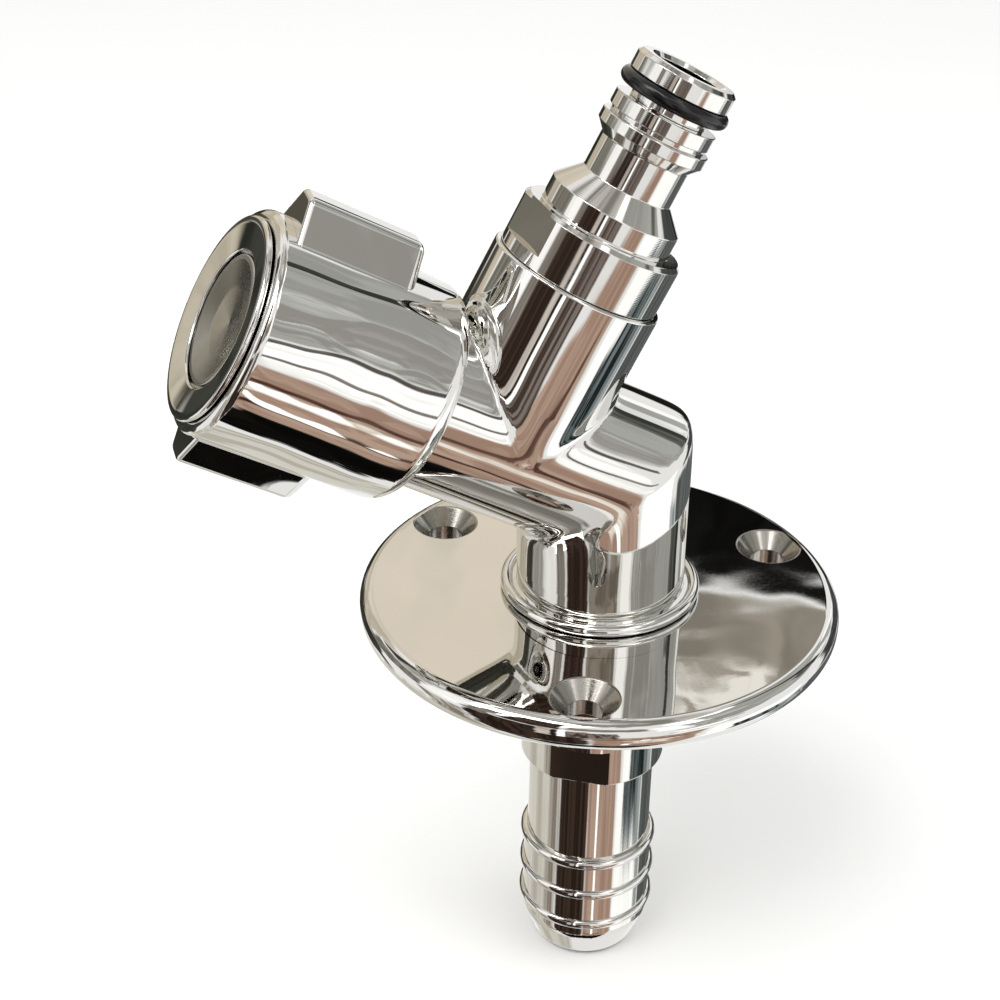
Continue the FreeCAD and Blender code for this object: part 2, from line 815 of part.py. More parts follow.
def web_low():
    # Rear face of the knob's web above the knob's rear edge
    return bonnet_seat + drive_start() - knob_rear


def front_bed():
    # Floor of the knob's front recess above its rear edge
    return web_low() + s.knob_web


def shell_front():
    return s.knob_length - s.front_ring_thick - s.knob_groove


def make_knob_shell():
    outer = s.knob_dia / 2
    mouth = s.tube_dia / 2 + s.open_gap
    room = outer - s.knob_wall
    recess = outer - s.knob_wall - s.open_gap * 2
    body = turned("knob_shell", [
        (mouth, ZERO), (outer, ZERO), (outer, shell_front()), (recess, shell_front()),
        (recess, front_bed()), (ZERO, front_bed()), (ZERO, web_low()), (room, web_low()),
        (room, s.knob_lip), (mouth, s.knob_lip)])
    round_rims(body, s.knob_round, [(outer, ZERO)])
    round_rims(body, s.front_ring_edge, [(outer, shell_front())])
    pocket(body, polygon(s.drive_flats + s.running * 2, 4), web_low(), s.knob_web)
    lug_high = s.knob_length - s.lug_set_back
    lug_low = lug_high - s.lug_length
    inside = outer - s.knob_wall / 2
    lug = pad(body, [
        (-s.lug_width / 2, inside), (s.lug_width / 2, inside),
        (s.lug_crest / 2, s.lug_reach), (-s.lug_crest / 2, s.lug_reach)], lug_low, s.lug_length)
    repeat(body, [lug], 2)
    dress(body, "Fillet", lug_edges(body, lug_low, lug_high), "Radius", s.lug_round)
    on_arm(body, knob_rear)
    return body


def lug_edges(body, low, high):
    # Long crest edges of both lugs and the crest's edge at their rear end
    names = []
    for index, edge in enumerate(body.Tip.Shape.Edges, 1):
        box = edge.BoundBox
        at_crest = min(abs(box.YMin), abs(box.YMax)) > s.lug_reach.value - 1e-3
        along = box.ZLength > (high - low).value - 1e-3
        across = box.ZMax < low.value + 1e-3 and box.XLength > 1
        if at_crest and (along or across):
            names.append("Edge%d" % index)
    return names


def make_knob_front_ring():
    outer = s.front_ring_dia / 2
    spigot = s.knob_dia / 2 - s.knob_wall - s.open_gap * 2 - s.fitting
    wall = spigot - s.front_ring_wall
    window = s.front_ring_window / 2
    top = s.knob_length
    crest = outer - s.front_ring_edge * 1.3
    lip_low = top - s.front_ring_dish - s.front_ring_lip
    body = turned("knob_front_ring", [
        (crest, top), (window, top - s.front_ring_dish), (window, lip_low), (wall, lip_low),
        (wall, front_bed() + s.fitting), (spigot, front_bed() + s.fitting),
        (spigot, top - s.front_ring_thick), (outer, top - s.front_ring_thick), (outer, top)])
    round_rims(body, s.front_ring_edge, [(outer, top), (outer, top - s.front_ring_thick)])
    on_arm(body, knob_rear)
    return body


def make_knob_insert():
    # Dished cap: its skirt stands on the knob's web, its rim is under the front ring's lip
    skirt = s.knob_dia / 2 - s.knob_wall - s.open_gap * 2 - s.fitting * 2 - s.front_ring_wall
    rim = s.knob_length - s.front_ring_dish - s.front_ring_lip - s.running
    flat = s.front_ring_window / 2 - s.insert_thick
    middle = rim - s.insert_dish
    inside = skirt - s.insert_thick
    bend = s.insert_bend_dia / 2
    bend_height = rim - s.insert_bend_drop
    body = turned("knob_insert", [
        (ZERO, middle), (bend, bend_height), (flat, rim), (skirt, rim), (skirt, front_bed()),
        (inside, front_bed()), (inside, rim - s.insert_thick), (flat, rim - s.insert_thick),
        (bend, bend_height - s.insert_thick), (ZERO, middle - s.insert_thick)])
    on_arm(body, knob_rear)
    return body


def make_knob_screw_washer():
    piece = ring("knob_screw_washer", s.screw_dia + s.fitting * 2, s.knob_screw_head + s.fitting * 4,
                 s.knob_screw_washer)
    on_arm(piece, knob_rear + front_bed())
    return piece


def make_knob_screw():
    shank = s.screw_dia / 2 - s.running
    head = s.knob_screw_head / 2
    length = s.knob_web - s.drive_length + s.knob_screw_washer + s.screw_depth - s.open_gap
    body = turned("knob_screw", [
        (ZERO, -length), (shank, -length), (shank, ZERO), (head, ZERO),
        (head, s.knob_screw_head_height), (ZERO, s.knob_screw_head_height)])
    round_rims(body, s.bevel, [(head, s.knob_screw_head_height)])
    socket = s.knob_screw_head_height / 2
    pocket(body, polygon(s.knob_screw_key, 6), socket, socket)
    on_arm(body, knob_rear + front_bed() + s.knob_screw_washer)
    return body


pieces = [
    make_body_casting(), make_flange_plate(), make_flange_seal(), make_nut_washer(), make_back_nut(),
    make_tail_washer(), make_hose_tail(), make_nipple_washer(), make_quick_nipple(), make_nipple_tip_seal(),
    make_seat_ring(), make_valve_washer(), make_washer_nut(), make_valve_carrier(), make_bonnet_seal(),
    make_bonnet(), make_thrust_ring(), make_spindle(), make_spindle_seal(0), make_spindle_seal(1),
    make_spindle_clip(), make_knob_shell(), make_knob_front_ring(), make_knob_insert(),
    make_knob_screw_washer(), make_knob_screw(),
]

doc.recompute()
for item in doc.Objects:
    if "Invalid" in item.State or "Error" in item.State:
        raise RuntimeError("%s did not build: %s" % (item.Label, item.State))
for piece in pieces:
    if piece.Shape.isNull() or not piece.Shape.isValid():
        raise RuntimeError("%s has no valid shape" % piece.Label)

os.makedirs("parts", exist_ok=True)
for piece in pieces:
    piece.Shape.exportStep("parts/%s.step" % piece.Label)
print("wrote %d pieces" % len(pieces))
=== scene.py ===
import math
from itertools import permutations

import bmesh
import bpy
import numpy as np
from mathutils import Matrix, Vector
from mathutils.geometry import delaunay_2d_cdt


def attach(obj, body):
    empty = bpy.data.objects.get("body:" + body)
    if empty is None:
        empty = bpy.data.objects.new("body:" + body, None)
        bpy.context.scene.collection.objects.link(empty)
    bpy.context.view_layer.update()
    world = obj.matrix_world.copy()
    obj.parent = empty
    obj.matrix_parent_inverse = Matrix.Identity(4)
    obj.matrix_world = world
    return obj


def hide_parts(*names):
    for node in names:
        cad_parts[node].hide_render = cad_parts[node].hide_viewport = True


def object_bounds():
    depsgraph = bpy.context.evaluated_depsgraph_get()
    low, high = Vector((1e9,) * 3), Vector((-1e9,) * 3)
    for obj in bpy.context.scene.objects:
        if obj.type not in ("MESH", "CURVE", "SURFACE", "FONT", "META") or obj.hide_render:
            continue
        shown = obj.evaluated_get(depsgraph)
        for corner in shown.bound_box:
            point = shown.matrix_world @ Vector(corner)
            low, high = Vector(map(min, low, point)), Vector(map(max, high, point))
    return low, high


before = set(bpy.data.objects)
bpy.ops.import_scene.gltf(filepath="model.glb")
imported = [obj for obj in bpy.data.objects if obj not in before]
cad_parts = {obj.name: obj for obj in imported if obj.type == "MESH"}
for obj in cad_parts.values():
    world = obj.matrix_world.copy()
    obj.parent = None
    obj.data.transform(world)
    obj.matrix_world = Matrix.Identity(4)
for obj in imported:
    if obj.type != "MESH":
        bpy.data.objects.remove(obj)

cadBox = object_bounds()
scene = bpy.context.scene
scene.view_settings.view_transform = "Standard"
mm = 0.001

# Where the axes lie, in mm: the column is Z, the arm leans out towards -Y, the branch back towards +Y
axes = {"elbow": 25.7, "armTilt": 28.5, "branchLean": 27.0, "branchStation": 19.3, "branchHeight": 25.3,
        "knobRear": 33.23}
tilt, lean = math.radians(axes["armTilt"]), math.radians(axes["branchLean"])
armWay = Vector((0, -math.cos(tilt), math.sin(tilt)))
branchWay = Vector((0, math.sin(lean), math.cos(lean)))
elbow = Vector((0, 0, axes["elbow"]))
branchFoot = elbow + armWay * axes["branchStation"]


def placed(start, turn):  # local Z becomes the piece's own axis
    return Matrix.Translation(start * mm) @ Matrix.Rotation(turn, 4, "X")


def onArm(station):
    return placed(elbow + armWay * station, math.pi / 2 - tilt)


def onBranch(height):
    return placed(branchFoot + branchWay * height, -lean)


def onColumn(turn=0):
    return Matrix.Rotation(math.radians(turn), 4, "Z")


def newObject(name, data):
    made = bpy.data.objects.new(name, data)
    scene.collection.objects.link(made)
    return made


# Mesh building: faces are collected in mm with the true normal at every corner, so that polished
# metal mirrors without facets

class Skin:
    def __init__(self):
        self.points, self.faces, self.normals, self.known = [], [], [], {}
        self.finish, self.finishes = 0, []  # which of the piece's finishes the next faces take

    def index(self, point):
        key = (round(point[0], 4), round(point[1], 4), round(point[2], 4))
        if key not in self.known:
            self.known[key] = len(self.points)
            self.points.append(key)
        return self.known[key]

    def face(self, corners, normals):
        ids, kept = [], []
        for corner, normal in zip(corners, normals):
            i = self.index(corner)
            if i not in ids:
                ids.append(i)
                kept.append(normal)
        if len(ids) > 2:
            self.faces.append(ids)
            self.normals += kept
            self.finishes.append(self.finish)

    def soup(self, points, triangles, normals):
        first = len(self.points)
        self.points += [tuple(p) for p in points]
        self.faces += [[first + int(i) for i in t] for t in triangles]
        self.normals += [tuple(normals[i]) for t in triangles for i in t]
        self.finishes += [self.finish] * len(triangles)

    def build(self, name, place, body, slot, *finishes):
        mesh = bpy.data.meshes.new(name)
        mesh.from_pydata([Vector(p) * mm for p in self.points], [], self.faces)
        mesh.polygons.foreach_set("use_smooth", [True] * len(mesh.polygons))
        mesh.normals_split_custom_set([Vector(n).normalized() for n in self.normals])
        for finish in finishes:
            mesh.materials.append(finish)
        mesh.polygons.foreach_set("material_index", self.finishes)
        piece = newObject(name, mesh)
        piece.matrix_world = place
        bpy.context.view_layer.update()
        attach(piece, body)
        return piece


bowStep = 9  # degrees that one flat piece of a rounding spans, at most
sideShare = 0.98  # how much of a short side its two roundings may take


def strips(profile, closed=True):
    # Turns a profile of (radius, height, rounding) corners and ("arc", radius, height, size, from, to) bows
    # into short pieces with a normal at both ends. Metal lies on the left of the line's direction.
    items = []
    for item in profile:
        if item[0] == "arc":
            middle, size = Vector(item[1:3]), item[3]
            count = max(2, math.ceil(abs(item[5] - item[4]) / bowStep))
            rays = [math.radians(item[4] + (item[5] - item[4]) * i / count) for i in range(count + 1)]
            ways = [Vector((math.cos(a), math.sin(a))) for a in rays]
            items.append([(middle + w * size, w) for w in ways])
        else:
            items.append((Vector(item[:2]), item[2] if len(item) > 2 else 0))
    starts = [i[0][0] if isinstance(i, list) else i[0] for i in items]
    ends = [i[-1][0] if isinstance(i, list) else i[0] for i in items]
    sides = [starts[(n + 1) % len(items)] - ends[n] for n in range(len(items))]
    turns, reaches = [], []
    for n, item in enumerate(items):
        plain = isinstance(item, list) or not item[1] or not closed and n in (0, len(items) - 1)
        turns.append(0 if plain else -sides[n - 1].angle_signed(sides[n]))  # anticlockwise counts up
        reaches.append(0 if plain else item[1] * math.tan(abs(turns[n]) / 2))
    for n, side in enumerate(sides):  # two roundings share a side that is too short for both
        follower = (n + 1) % len(items)
        share = side.length * sideShare / max(reaches[n] + reaches[follower], 1e-9)
        if share < 1:
            reaches[n] *= share
            reaches[follower] *= share
    for n, turn in enumerate(turns):
        if reaches[n] < 1e-4:
            continue
        size, side = reaches[n] / math.tan(abs(turn) / 2), math.copysign(1, turn)
        before = sides[n - 1].normalized()
        out = Vector((before.y, -before.x))
        middle = starts[n] - before * reaches[n] - out * size * side
        count = max(2, math.ceil(math.degrees(abs(turn)) / bowStep))
        bow = []
        for i in range(count + 1):
            a = turn * i / count
            c, s = math.cos(a), math.sin(a)
            way = Vector((out.x * c - out.y * s, out.x * s + out.y * c))
            bow.append((middle + way * size * side, way))
        items[n] = bow
    lines = []
    for n, item in enumerate(items):
        if isinstance(item, list):
            lines += [(a[0], a[1], b[0], b[1]) for a, b in zip(item, item[1:])]
        if n == len(items) - 1 and not closed:
            break
        follower = items[(n + 1) % len(items)]
        start = item[-1][0] if isinstance(item, list) else item[0]
        stop = follower[0][0] if isinstance(follower, list) else follower[0]
        if (stop - start).length > 1e-4:
            out = Vector((stop.y - start.y, start.x - stop.x)).normalized()
            lines.append((start, out, stop, out))
    return lines


def turned(skin, profile, closed=True, flats=None, segments=144, shift=(0, 0)):
    # flats: {"across", "turn", "low", "high", "on"} mills two wrench flats on the round of radius "on"
    rays = [2 * math.pi * i / segments for i in range(segments)]
    if flats:
        half = math.acos(flats["across"] / 2 / flats["on"])
        centres = [math.radians(flats["turn"] + k) for k in (0, 180)]
        rays += [c + side * half for c in centres for side in (-1, 1)]
    rays = sorted(a % (2 * math.pi) for a in rays)
    rays.append(rays[0] + 2 * math.pi)

    def corner(radius, height, ray, milled):
        if milled:
            for c in centres:
                if math.cos(ray - c) > 0:
                    radius = min(radius, flats["across"] / 2 / math.cos(ray - c))
        return shift[0] + radius * math.cos(ray), shift[1] + radius * math.sin(ray), height

    def normal(way, ray):
        return way.x * math.cos(ray), way.x * math.sin(ray), way.y

    for a, wayA, b, wayB in strips(profile, closed):
        milled = flats and min(a.y, b.y) > flats["low"] - 1e-3 and max(a.y, b.y) < flats["high"] + 1e-3
        milled = milled and max(a.x, b.x) > flats["across"] / 2
        for r0, r1 in zip(rays, rays[1:]):
            corners = [corner(a.x, a.y, r0, milled), corner(a.x, a.y, r1, milled),
                       corner(b.x, b.y, r1, milled), corner(b.x, b.y, r0, milled)]
            normals = [normal(wayA, r0), normal(wayA, r1), normal(wayB, r1), normal(wayB, r0)]
            if milled and abs(wayA.x) > 0.5:
                middle = (r0 + r1) / 2
                for c in centres:
                    if math.cos(middle - c) * min(a.x, b.x) > flats["across"] / 2:
                        normals = [(math.cos(c), math.sin(c), 0)] * 4
            skin.face(corners, normals)
    if flats:  # the shelf where each flat stops
        height = flats["low"] if flats["shelf"] > 0 else flats["high"]
        for c in centres:
            inside = [r for r in rays if math.cos(r - c) >= math.cos(half) - 1e-9]
            inside.sort(key=lambda r: (r - c + math.pi) % (2 * math.pi))
            for r0, r1 in zip(inside, inside[1:]):
                ring = [corner(flats["on"], height, r0, False), corner(flats["on"], height, r1, False),
                        corner(flats["on"], height, r1, True), corner(flats["on"], height, r0, True)]
                if flats["shelf"] < 0:
                    ring.reverse()
                skin.face(ring, [(0, 0, flats["shelf"])] * 4)


def threaded(skin, radius, depth, pitch, low, high, segments=96, perTurn=10):
    rows = round((high - low) / pitch * perTurn)

    def spot(i, j):
        ray, height = 2 * math.pi * i / segments, low + (high - low) * j / rows
        phase = 2 * math.pi * (height / pitch - i / segments)
        r = radius - depth / 2 * (1 - math.cos(phase))
        slope = -depth / 2 * math.sin(phase) * 2 * math.pi / pitch
        twist = depth / 2 * math.sin(phase) / r
        c, s = math.cos(ray), math.sin(ray)
        return (r * c, r * s, height), (c + twist * s, s - twist * c, -slope)

    for i in range(segments):
        for j in range(rows):
            four = [spot(i, j), spot(i + 1, j), spot(i + 1, j + 1), spot(i, j + 1)]
            skin.face(*zip(*four))


# Materials

def linear(code):
    parts = [int(code[i:i + 2], 16) / 255 for i in (1, 3, 5)]
    return tuple(c / 12.92 if c <= 0.04045 else ((c + 0.055) / 1.055) ** 2.4 for c in parts) + (1,)


def newMaterial(name):
    made = bpy.data.materials.new(name)
    made.use_nodes = True
    return made, made.node_tree


def addNode(tree, kind, inputs=None, **settings):
    made = tree.nodes.new("ShaderNode" + kind)
    for key, value in settings.items():
        setattr(made, key, value)
    for key, value in (inputs or {}).items():
        if isinstance(value, bpy.types.NodeSocket):
            tree.links.new(value, made.inputs[key])
        else:
            made.inputs[key].default_value = value
    return made


# Shared by all finishes: the noise values at which they are smooth and dull, the sway of tool lines, and how
# the painted shade darkens a seam by its openness
finishBase = {"smoothAt": 0.15, "dullAt": 0.4, "lineSway": 1.2, "closedAt": 0.12, "openAt": 0.5,
              "seamColour": "#3A3733", "seamRays": 6}


def surface(name, look):
    # Colour drift, roughness drift, a slow polishing wave, a fine grain and, on turned work, tool lines
    material, tree = newMaterial(name)
    shader = tree.nodes["Principled BSDF"]
    at = addNode(tree, "TexCoord").outputs["Object"]
    drift = addNode(tree, "TexNoise",
                    {"Vector": at, "Scale": 1 / (look["driftSize"] * mm), "Detail": 4}).outputs["Fac"]
    grain = addNode(tree, "TexNoise",
                    {"Vector": at, "Scale": 1 / (look["grainSize"] * mm), "Detail": 2}).outputs["Fac"]
    tint = addNode(tree, "ValToRGB", {"Fac": drift})
    for stop, code in zip(tint.color_ramp.elements, look["colours"]):
        stop.color = linear(code)
    colour = tint.outputs["Color"]
    if "seam" in look:  # painted shade: the colour darkens where two faces come close
        openness = addNode(tree, "AmbientOcclusion", {"Distance": look["seam"] * mm},
                           samples=finishBase["seamRays"])
        shade = addNode(tree, "ValToRGB", {"Fac": openness.outputs["AO"]})
        closed, free = shade.color_ramp.elements
        closed.position, free.position = finishBase["closedAt"], finishBase["openAt"]
        closed.color, free.color = linear(finishBase["seamColour"]), (1, 1, 1, 1)
        colour = addNode(tree, "VectorMath", {0: colour, 1: shade.outputs["Color"]},
                         operation="MULTIPLY").outputs[0]
    tree.links.new(colour, shader.inputs["Base Color"])
    mixed = addNode(tree, "Math", {0: drift, 1: grain}, operation="MULTIPLY")
    smooth, dull = look["roughness"]
    rough = addNode(tree, "MapRange",
                    {"Value": mixed.outputs[0], "From Min": finishBase["smoothAt"],
                     "From Max": finishBase["dullAt"], "To Min": smooth, "To Max": dull})
    tree.links.new(rough.outputs[0], shader.inputs["Roughness"])
    shader.inputs["Metallic"].default_value = look["metallic"]
    if "ior" in look:
        shader.inputs["IOR"].default_value = look["ior"]
    bump = addNode(tree, "Bump", {"Height": grain, "Distance": look["grainDepth"] * mm}).outputs[0]
    if "waveSize" in look:
        wave = addNode(tree, "TexNoise",
                       {"Vector": at, "Scale": 1 / (look["waveSize"] * mm), "Detail": 1}).outputs["Fac"]
        bump = addNode(tree, "Bump",
                       {"Height": wave, "Distance": look["waveDepth"] * mm, "Normal": bump}).outputs[0]
    if "linePitch" in look:
        scale = math.pi / 10 / (look["linePitch"] * mm)  # a wave texture at scale 1 repeats every pi / 10 m
        lines = addNode(tree, "TexWave",
                        {"Vector": at, "Scale": scale, "Distortion": finishBase["lineSway"],
                         "Detail Scale": 2}, wave_type=look["lineKind"],
                        bands_direction="Z", rings_direction="Z").outputs["Fac"]
        bump = addNode(tree, "Bump",
                       {"Height": lines, "Distance": look["lineDepth"] * mm, "Normal": bump}).outputs[0]
    tree.links.new(bump, shader.inputs["Normal"])
    if "anisotropy" in look:
        shader.inputs["Anisotropic"].default_value = look["anisotropy"]
        tangent = addNode(tree, "Tangent", direction_type="RADIAL", axis="Z")
        tree.links.new(tangent.outputs[0], shader.inputs["Tangent"])
    return material


# In the finishes below, "seam" is the reach, mm, of the painted shade where two faces come close
# Cast stainless steel, buffed by hand: a mirror whose picture swims a little
buffedSteel = surface("Buffed cast stainless steel", {
    "colours": ("#E9E8E5", "#DEDDD9"), "metallic": 1.0, "roughness": (0.012, 0.04), "driftSize": 18,
    "grainSize": 0.5, "grainDepth": 0.0003, "waveSize": 13, "waveDepth": 0.12, "seam": 0.6})
# The knob's pressed shell: the same polish over an uneven wall, which bends long reflections
pressedSteel = surface("Buffed pressed stainless steel", {
    "colours": ("#E9E8E5", "#DEDDD9"), "metallic": 1.0, "roughness": (0.012, 0.035), "driftSize": 15,
    "grainSize": 0.5, "grainDepth": 0.0003, "waveSize": 24, "waveDepth": 1.6, "seam": 0.6})
# Bar stainless steel off the lathe, polished: straight clean streaks with fine tool lines, which are drawn
# at 0.25 mm because real ones are too fine to show
latheSteel = surface("Turned stainless steel", {
    "colours": ("#E6E4E0", "#D9D7D2"), "metallic": 1.0, "roughness": (0.03, 0.08), "driftSize": 7,
    "grainSize": 0.4, "grainDepth": 0.0004, "linePitch": 0.25, "lineDepth": 0.0008, "lineKind": "BANDS",
    "seam": 0.9})
# The countersinks as the drill left them: duller, with rings, and painted shade deep in the recess
drilledSteel = surface("Drilled stainless steel", {
    "colours": ("#B5B1AA", "#98948C"), "metallic": 1.0, "roughness": (0.16, 0.28), "driftSize": 3,
    "grainSize": 0.3, "grainDepth": 0.0006, "linePitch": 0.25, "lineDepth": 0.001, "lineKind": "BANDS",
    "seam": 3.5})
# Pressed steel cap, spun against grit: rings round the middle that spread the light in a fan
spunSteel = surface("Spun satin steel", {
    "colours": ("#C4C2BC", "#B3B1AB"), "metallic": 1.0, "roughness": (0.2, 0.26), "driftSize": 5,
    "grainSize": 0.4, "grainDepth": 0.0001, "linePitch": 0.4, "lineDepth": 0.0002, "lineKind": "RINGS",
    "anisotropy": 0.85})
# Moulded nitrile rubber: near black with a soft sheen
nitrile = surface("Black nitrile rubber", {
    "colours": ("#0B0C0D", "#060607"), "metallic": 0.0, "roughness": (0.17, 0.26), "ior": 1.52,
    "driftSize": 4, "grainSize": 0.25, "grainDepth": 0.006})
# Machined brass, left bright inside the tap
barBrass = surface("Machined brass", {
    "colours": ("#D9B56A", "#CBA55A"), "metallic": 1.0, "roughness": (0.16, 0.28), "driftSize": 5,
    "grainSize": 0.3, "grainDepth": 0.001, "linePitch": 0.3, "lineDepth": 0.002, "lineKind": "BANDS"})
# Vulcanised fibre: dull brick-red board
redFibre = surface("Red vulcanised fibre", {
    "colours": ("#8A3B2C", "#6F2E22"), "metallic": 0.0, "roughness": (0.6, 0.8), "ior": 1.5, "driftSize": 2,
    "grainSize": 0.2, "grainDepth": 0.01})
# Natural nylon: milky and a little waxy
plainNylon = surface("Natural nylon", {
    "colours": ("#E6E1D2", "#DCD6C4"), "metallic": 0.0, "roughness": (0.38, 0.5), "ior": 1.53, "driftSize": 3,
    "grainSize": 0.3, "grainDepth": 0.003})
print("materials made")

# Body casting: the outside of column, arm and branch as one skin, blended as the foundry pattern is

casting = {"tube": 12.9, "branch": 13.0, "swellLength": 8, "outerCorner": 0.046, "outerCurl": 0.0013,
           "innerCorner": 0.1, "creaseBlend": 0.55, "creaseRise": 3, "columnCut": 10.0, "armCut": 36.5,
           "branchCut": 24.3, "mouth": 37.23, "mouthBore": 10.4, "branchBore": 9.9, "boreSeen": 6,
           "cutReach": 2, "cutWide": 16, "cell": 0.7, "passes": 4,
           "low": (-14.6, -39.5, 8.5), "high": (14.6, 16.0, 65.0)}


def castDistance(p):
    # Signed distance, mm, from the casting's outside
    fromElbow = p - np.array(elbow)
    s = fromElbow @ np.array(armWay)
    arm = np.sqrt(np.maximum((fromElbow ** 2).sum(1) - s * s, 1e-9)) - casting["tube"]
    column = np.hypot(p[:, 0], p[:, 1]) - casting["tube"]
    outward = (-(armWay + Vector((0, 0, -1)))).normalized()
    w = fromElbow @ np.array(outward)  # positive towards the elbow's outer corner
    outer = w * (casting["outerCorner"] + casting["outerCurl"] * w)
    rounding = np.where(w > 0, outer, w * casting["innerCorner"])
    bent = (arm + column + np.sign(w) * np.sqrt((arm - column) ** 2 + rounding ** 2)) / 2
    fromFoot = p - np.array(branchFoot)
    t = fromFoot @ np.array(branchWay)
    swell = np.clip(t / casting["swellLength"], 0, 1) * (casting["branch"] - casting["tube"])
    branch = np.sqrt(np.maximum((fromFoot ** 2).sum(1) - t * t, 1e-9)) - casting["tube"] - swell
    up = np.maximum(t, 0)
    crease = casting["creaseBlend"] * up / (up + casting["creaseRise"])
    tee = (bent + branch - np.sqrt((bent - branch) ** 2 + crease ** 2)) / 2
    return np.where(t > 0, tee, bent)


def castSlope(p):
    step = 0.01
    return np.stack([(castDistance(p + d) - castDistance(p - d)) / (2 * step) for d in np.eye(3) * step], 1)


def castSkin():
    # The zero surface over a grid of small cells, each split in six wedges, then drawn on to the true one
    cell, low, high = casting["cell"], np.array(casting["low"]), np.array(casting["high"])
    counts = np.ceil((high - low) / cell).astype(int) + 1
    ticks = [low[i] + cell * np.arange(counts[i]) for i in range(3)]
    nodes = np.stack(np.meshgrid(*ticks, indexing="ij"), -1).reshape(-1, 3)
    depth = castDistance(nodes)
    strides = np.array((counts[1] * counts[2], counts[2], 1))
    cells = np.stack(np.meshgrid(*[np.arange(c - 1) for c in counts], indexing="ij"), -1).reshape(-1, 3)
    starts = cells @ strides
    wedges = [(0, strides[i], strides[i] + strides[j], strides.sum()) for i, j, _ in permutations(range(3))]
    tets = np.concatenate([starts[:, None] + np.array(w) for w in wedges])
    inside = depth[tets] < 0
    count = inside.sum(1)
    pairs = []
    odd = (count == 1) | (count == 3)
    lone, flags = tets[odd], inside[odd]
    flags = np.where((count[odd] == 3)[:, None], ~flags, flags)
    order = np.argsort(~flags, axis=1, kind="stable")
    lone = np.take_along_axis(lone, order, 1)
    pairs.append(np.stack([lone[:, [0, 1]], lone[:, [0, 2]], lone[:, [0, 3]]], 1))
    even = count == 2
    order = np.argsort(inside[even], axis=1, kind="stable")
    four = np.take_along_axis(tets[even], order, 1)
    ac, ad, bc, bd = four[:, [0, 2]], four[:, [0, 3]], four[:, [1, 2]], four[:, [1, 3]]
    pairs += [np.stack([ac, ad, bd], 1), np.stack([ac, bd, bc], 1)]
    edges = np.sort(np.concatenate(pairs).reshape(-1, 2), axis=1)
    keys, back = np.unique(edges[:, 0].astype(np.int64) * len(nodes) + edges[:, 1], return_inverse=True)
    a, b = keys // len(nodes), keys % len(nodes)
    share = depth[a] / (depth[a] - depth[b])
    points = nodes[a] + (nodes[b] - nodes[a]) * share[:, None]
    for _ in range(casting["passes"]):
        slope = castSlope(points)
        points -= slope * (castDistance(points) / (slope ** 2).sum(1))[:, None]
    triangles = back.reshape(-1, 3)
    first, second, third = (points[triangles[:, i]] for i in range(3))
    flip = (np.cross(second - first, third - first) * castSlope(first)).sum(1) < 0
    triangles[flip] = triangles[flip][:, ::-1]
    work = bmesh.new()
    spots = [work.verts.new(p) for p in points]
    for t in triangles:
        if len(set(t)) == 3:
            work.faces.new([spots[i] for i in t])
    cuts = [(Vector((0, 0, casting["columnCut"])), Vector((0, 0, -1))),
            (elbow + armWay * casting["armCut"], armWay),
            (branchFoot + branchWay * casting["branchCut"], branchWay)]
    for place, way in cuts:
        # Only what lies on that tube is cut: the plane leaves the rest alone
        near = []
        for face in work.faces:
            offset = face.calc_center_median() - place
            if offset.dot(way) > -casting["cutReach"] and offset.cross(way).length < casting["cutWide"]:
                near.append(face)
        geometry = near + [e for f in near for e in f.edges] + [v for f in near for v in f.verts]
        geometry = list(dict.fromkeys(geometry))  # each once, in the same order every time
        bmesh.ops.bisect_plane(work, geom=geometry, dist=1e-4, plane_co=place, plane_no=way, clear_outer=True)
    bmesh.ops.dissolve_degenerate(work, dist=1e-4, edges=work.edges)
    bmesh.ops.triangulate(work, faces=work.faces)
    loose = [v for v in work.verts if not v.link_faces]
    bmesh.ops.delete(work, geom=loose, context="VERTS")
    work.verts.index_update()
    kept = np.array([v.co for v in work.verts])
    result = kept, np.array([[v.index for v in f.verts] for f in work.faces]), castSlope(kept)
    work.free()
    return result


def around(way, place):
    # Takes local Z to another axis
    turn = Vector((0, 0, 1)).rotation_difference(way).to_matrix().to_4x4()
    return Matrix.Translation(place) @ turn


def added(skin, other, place):
    # Adds a skin that was turned about its own axis to the skin of the whole piece
    turn = place.to_3x3()
    for ids, start in zip(other.faces, np.cumsum([0] + [len(f) for f in other.faces])):
        skin.face([place @ Vector(other.points[i]) for i in ids],
                  [turn @ Vector(other.normals[start + k]) for k in range(len(ids))])


foot = {"bead": 14.4, "section": 0.95, "beadTo": 158, "beadRise": 0.5, "top": 4.9, "shank": 10.45,
        "shankEnd": -13.0, "pitch": 1.81, "depth": 1.05, "bore": 8.4, "lead": 0.6, "leadInset": 0.4,
        "endInset": 1}


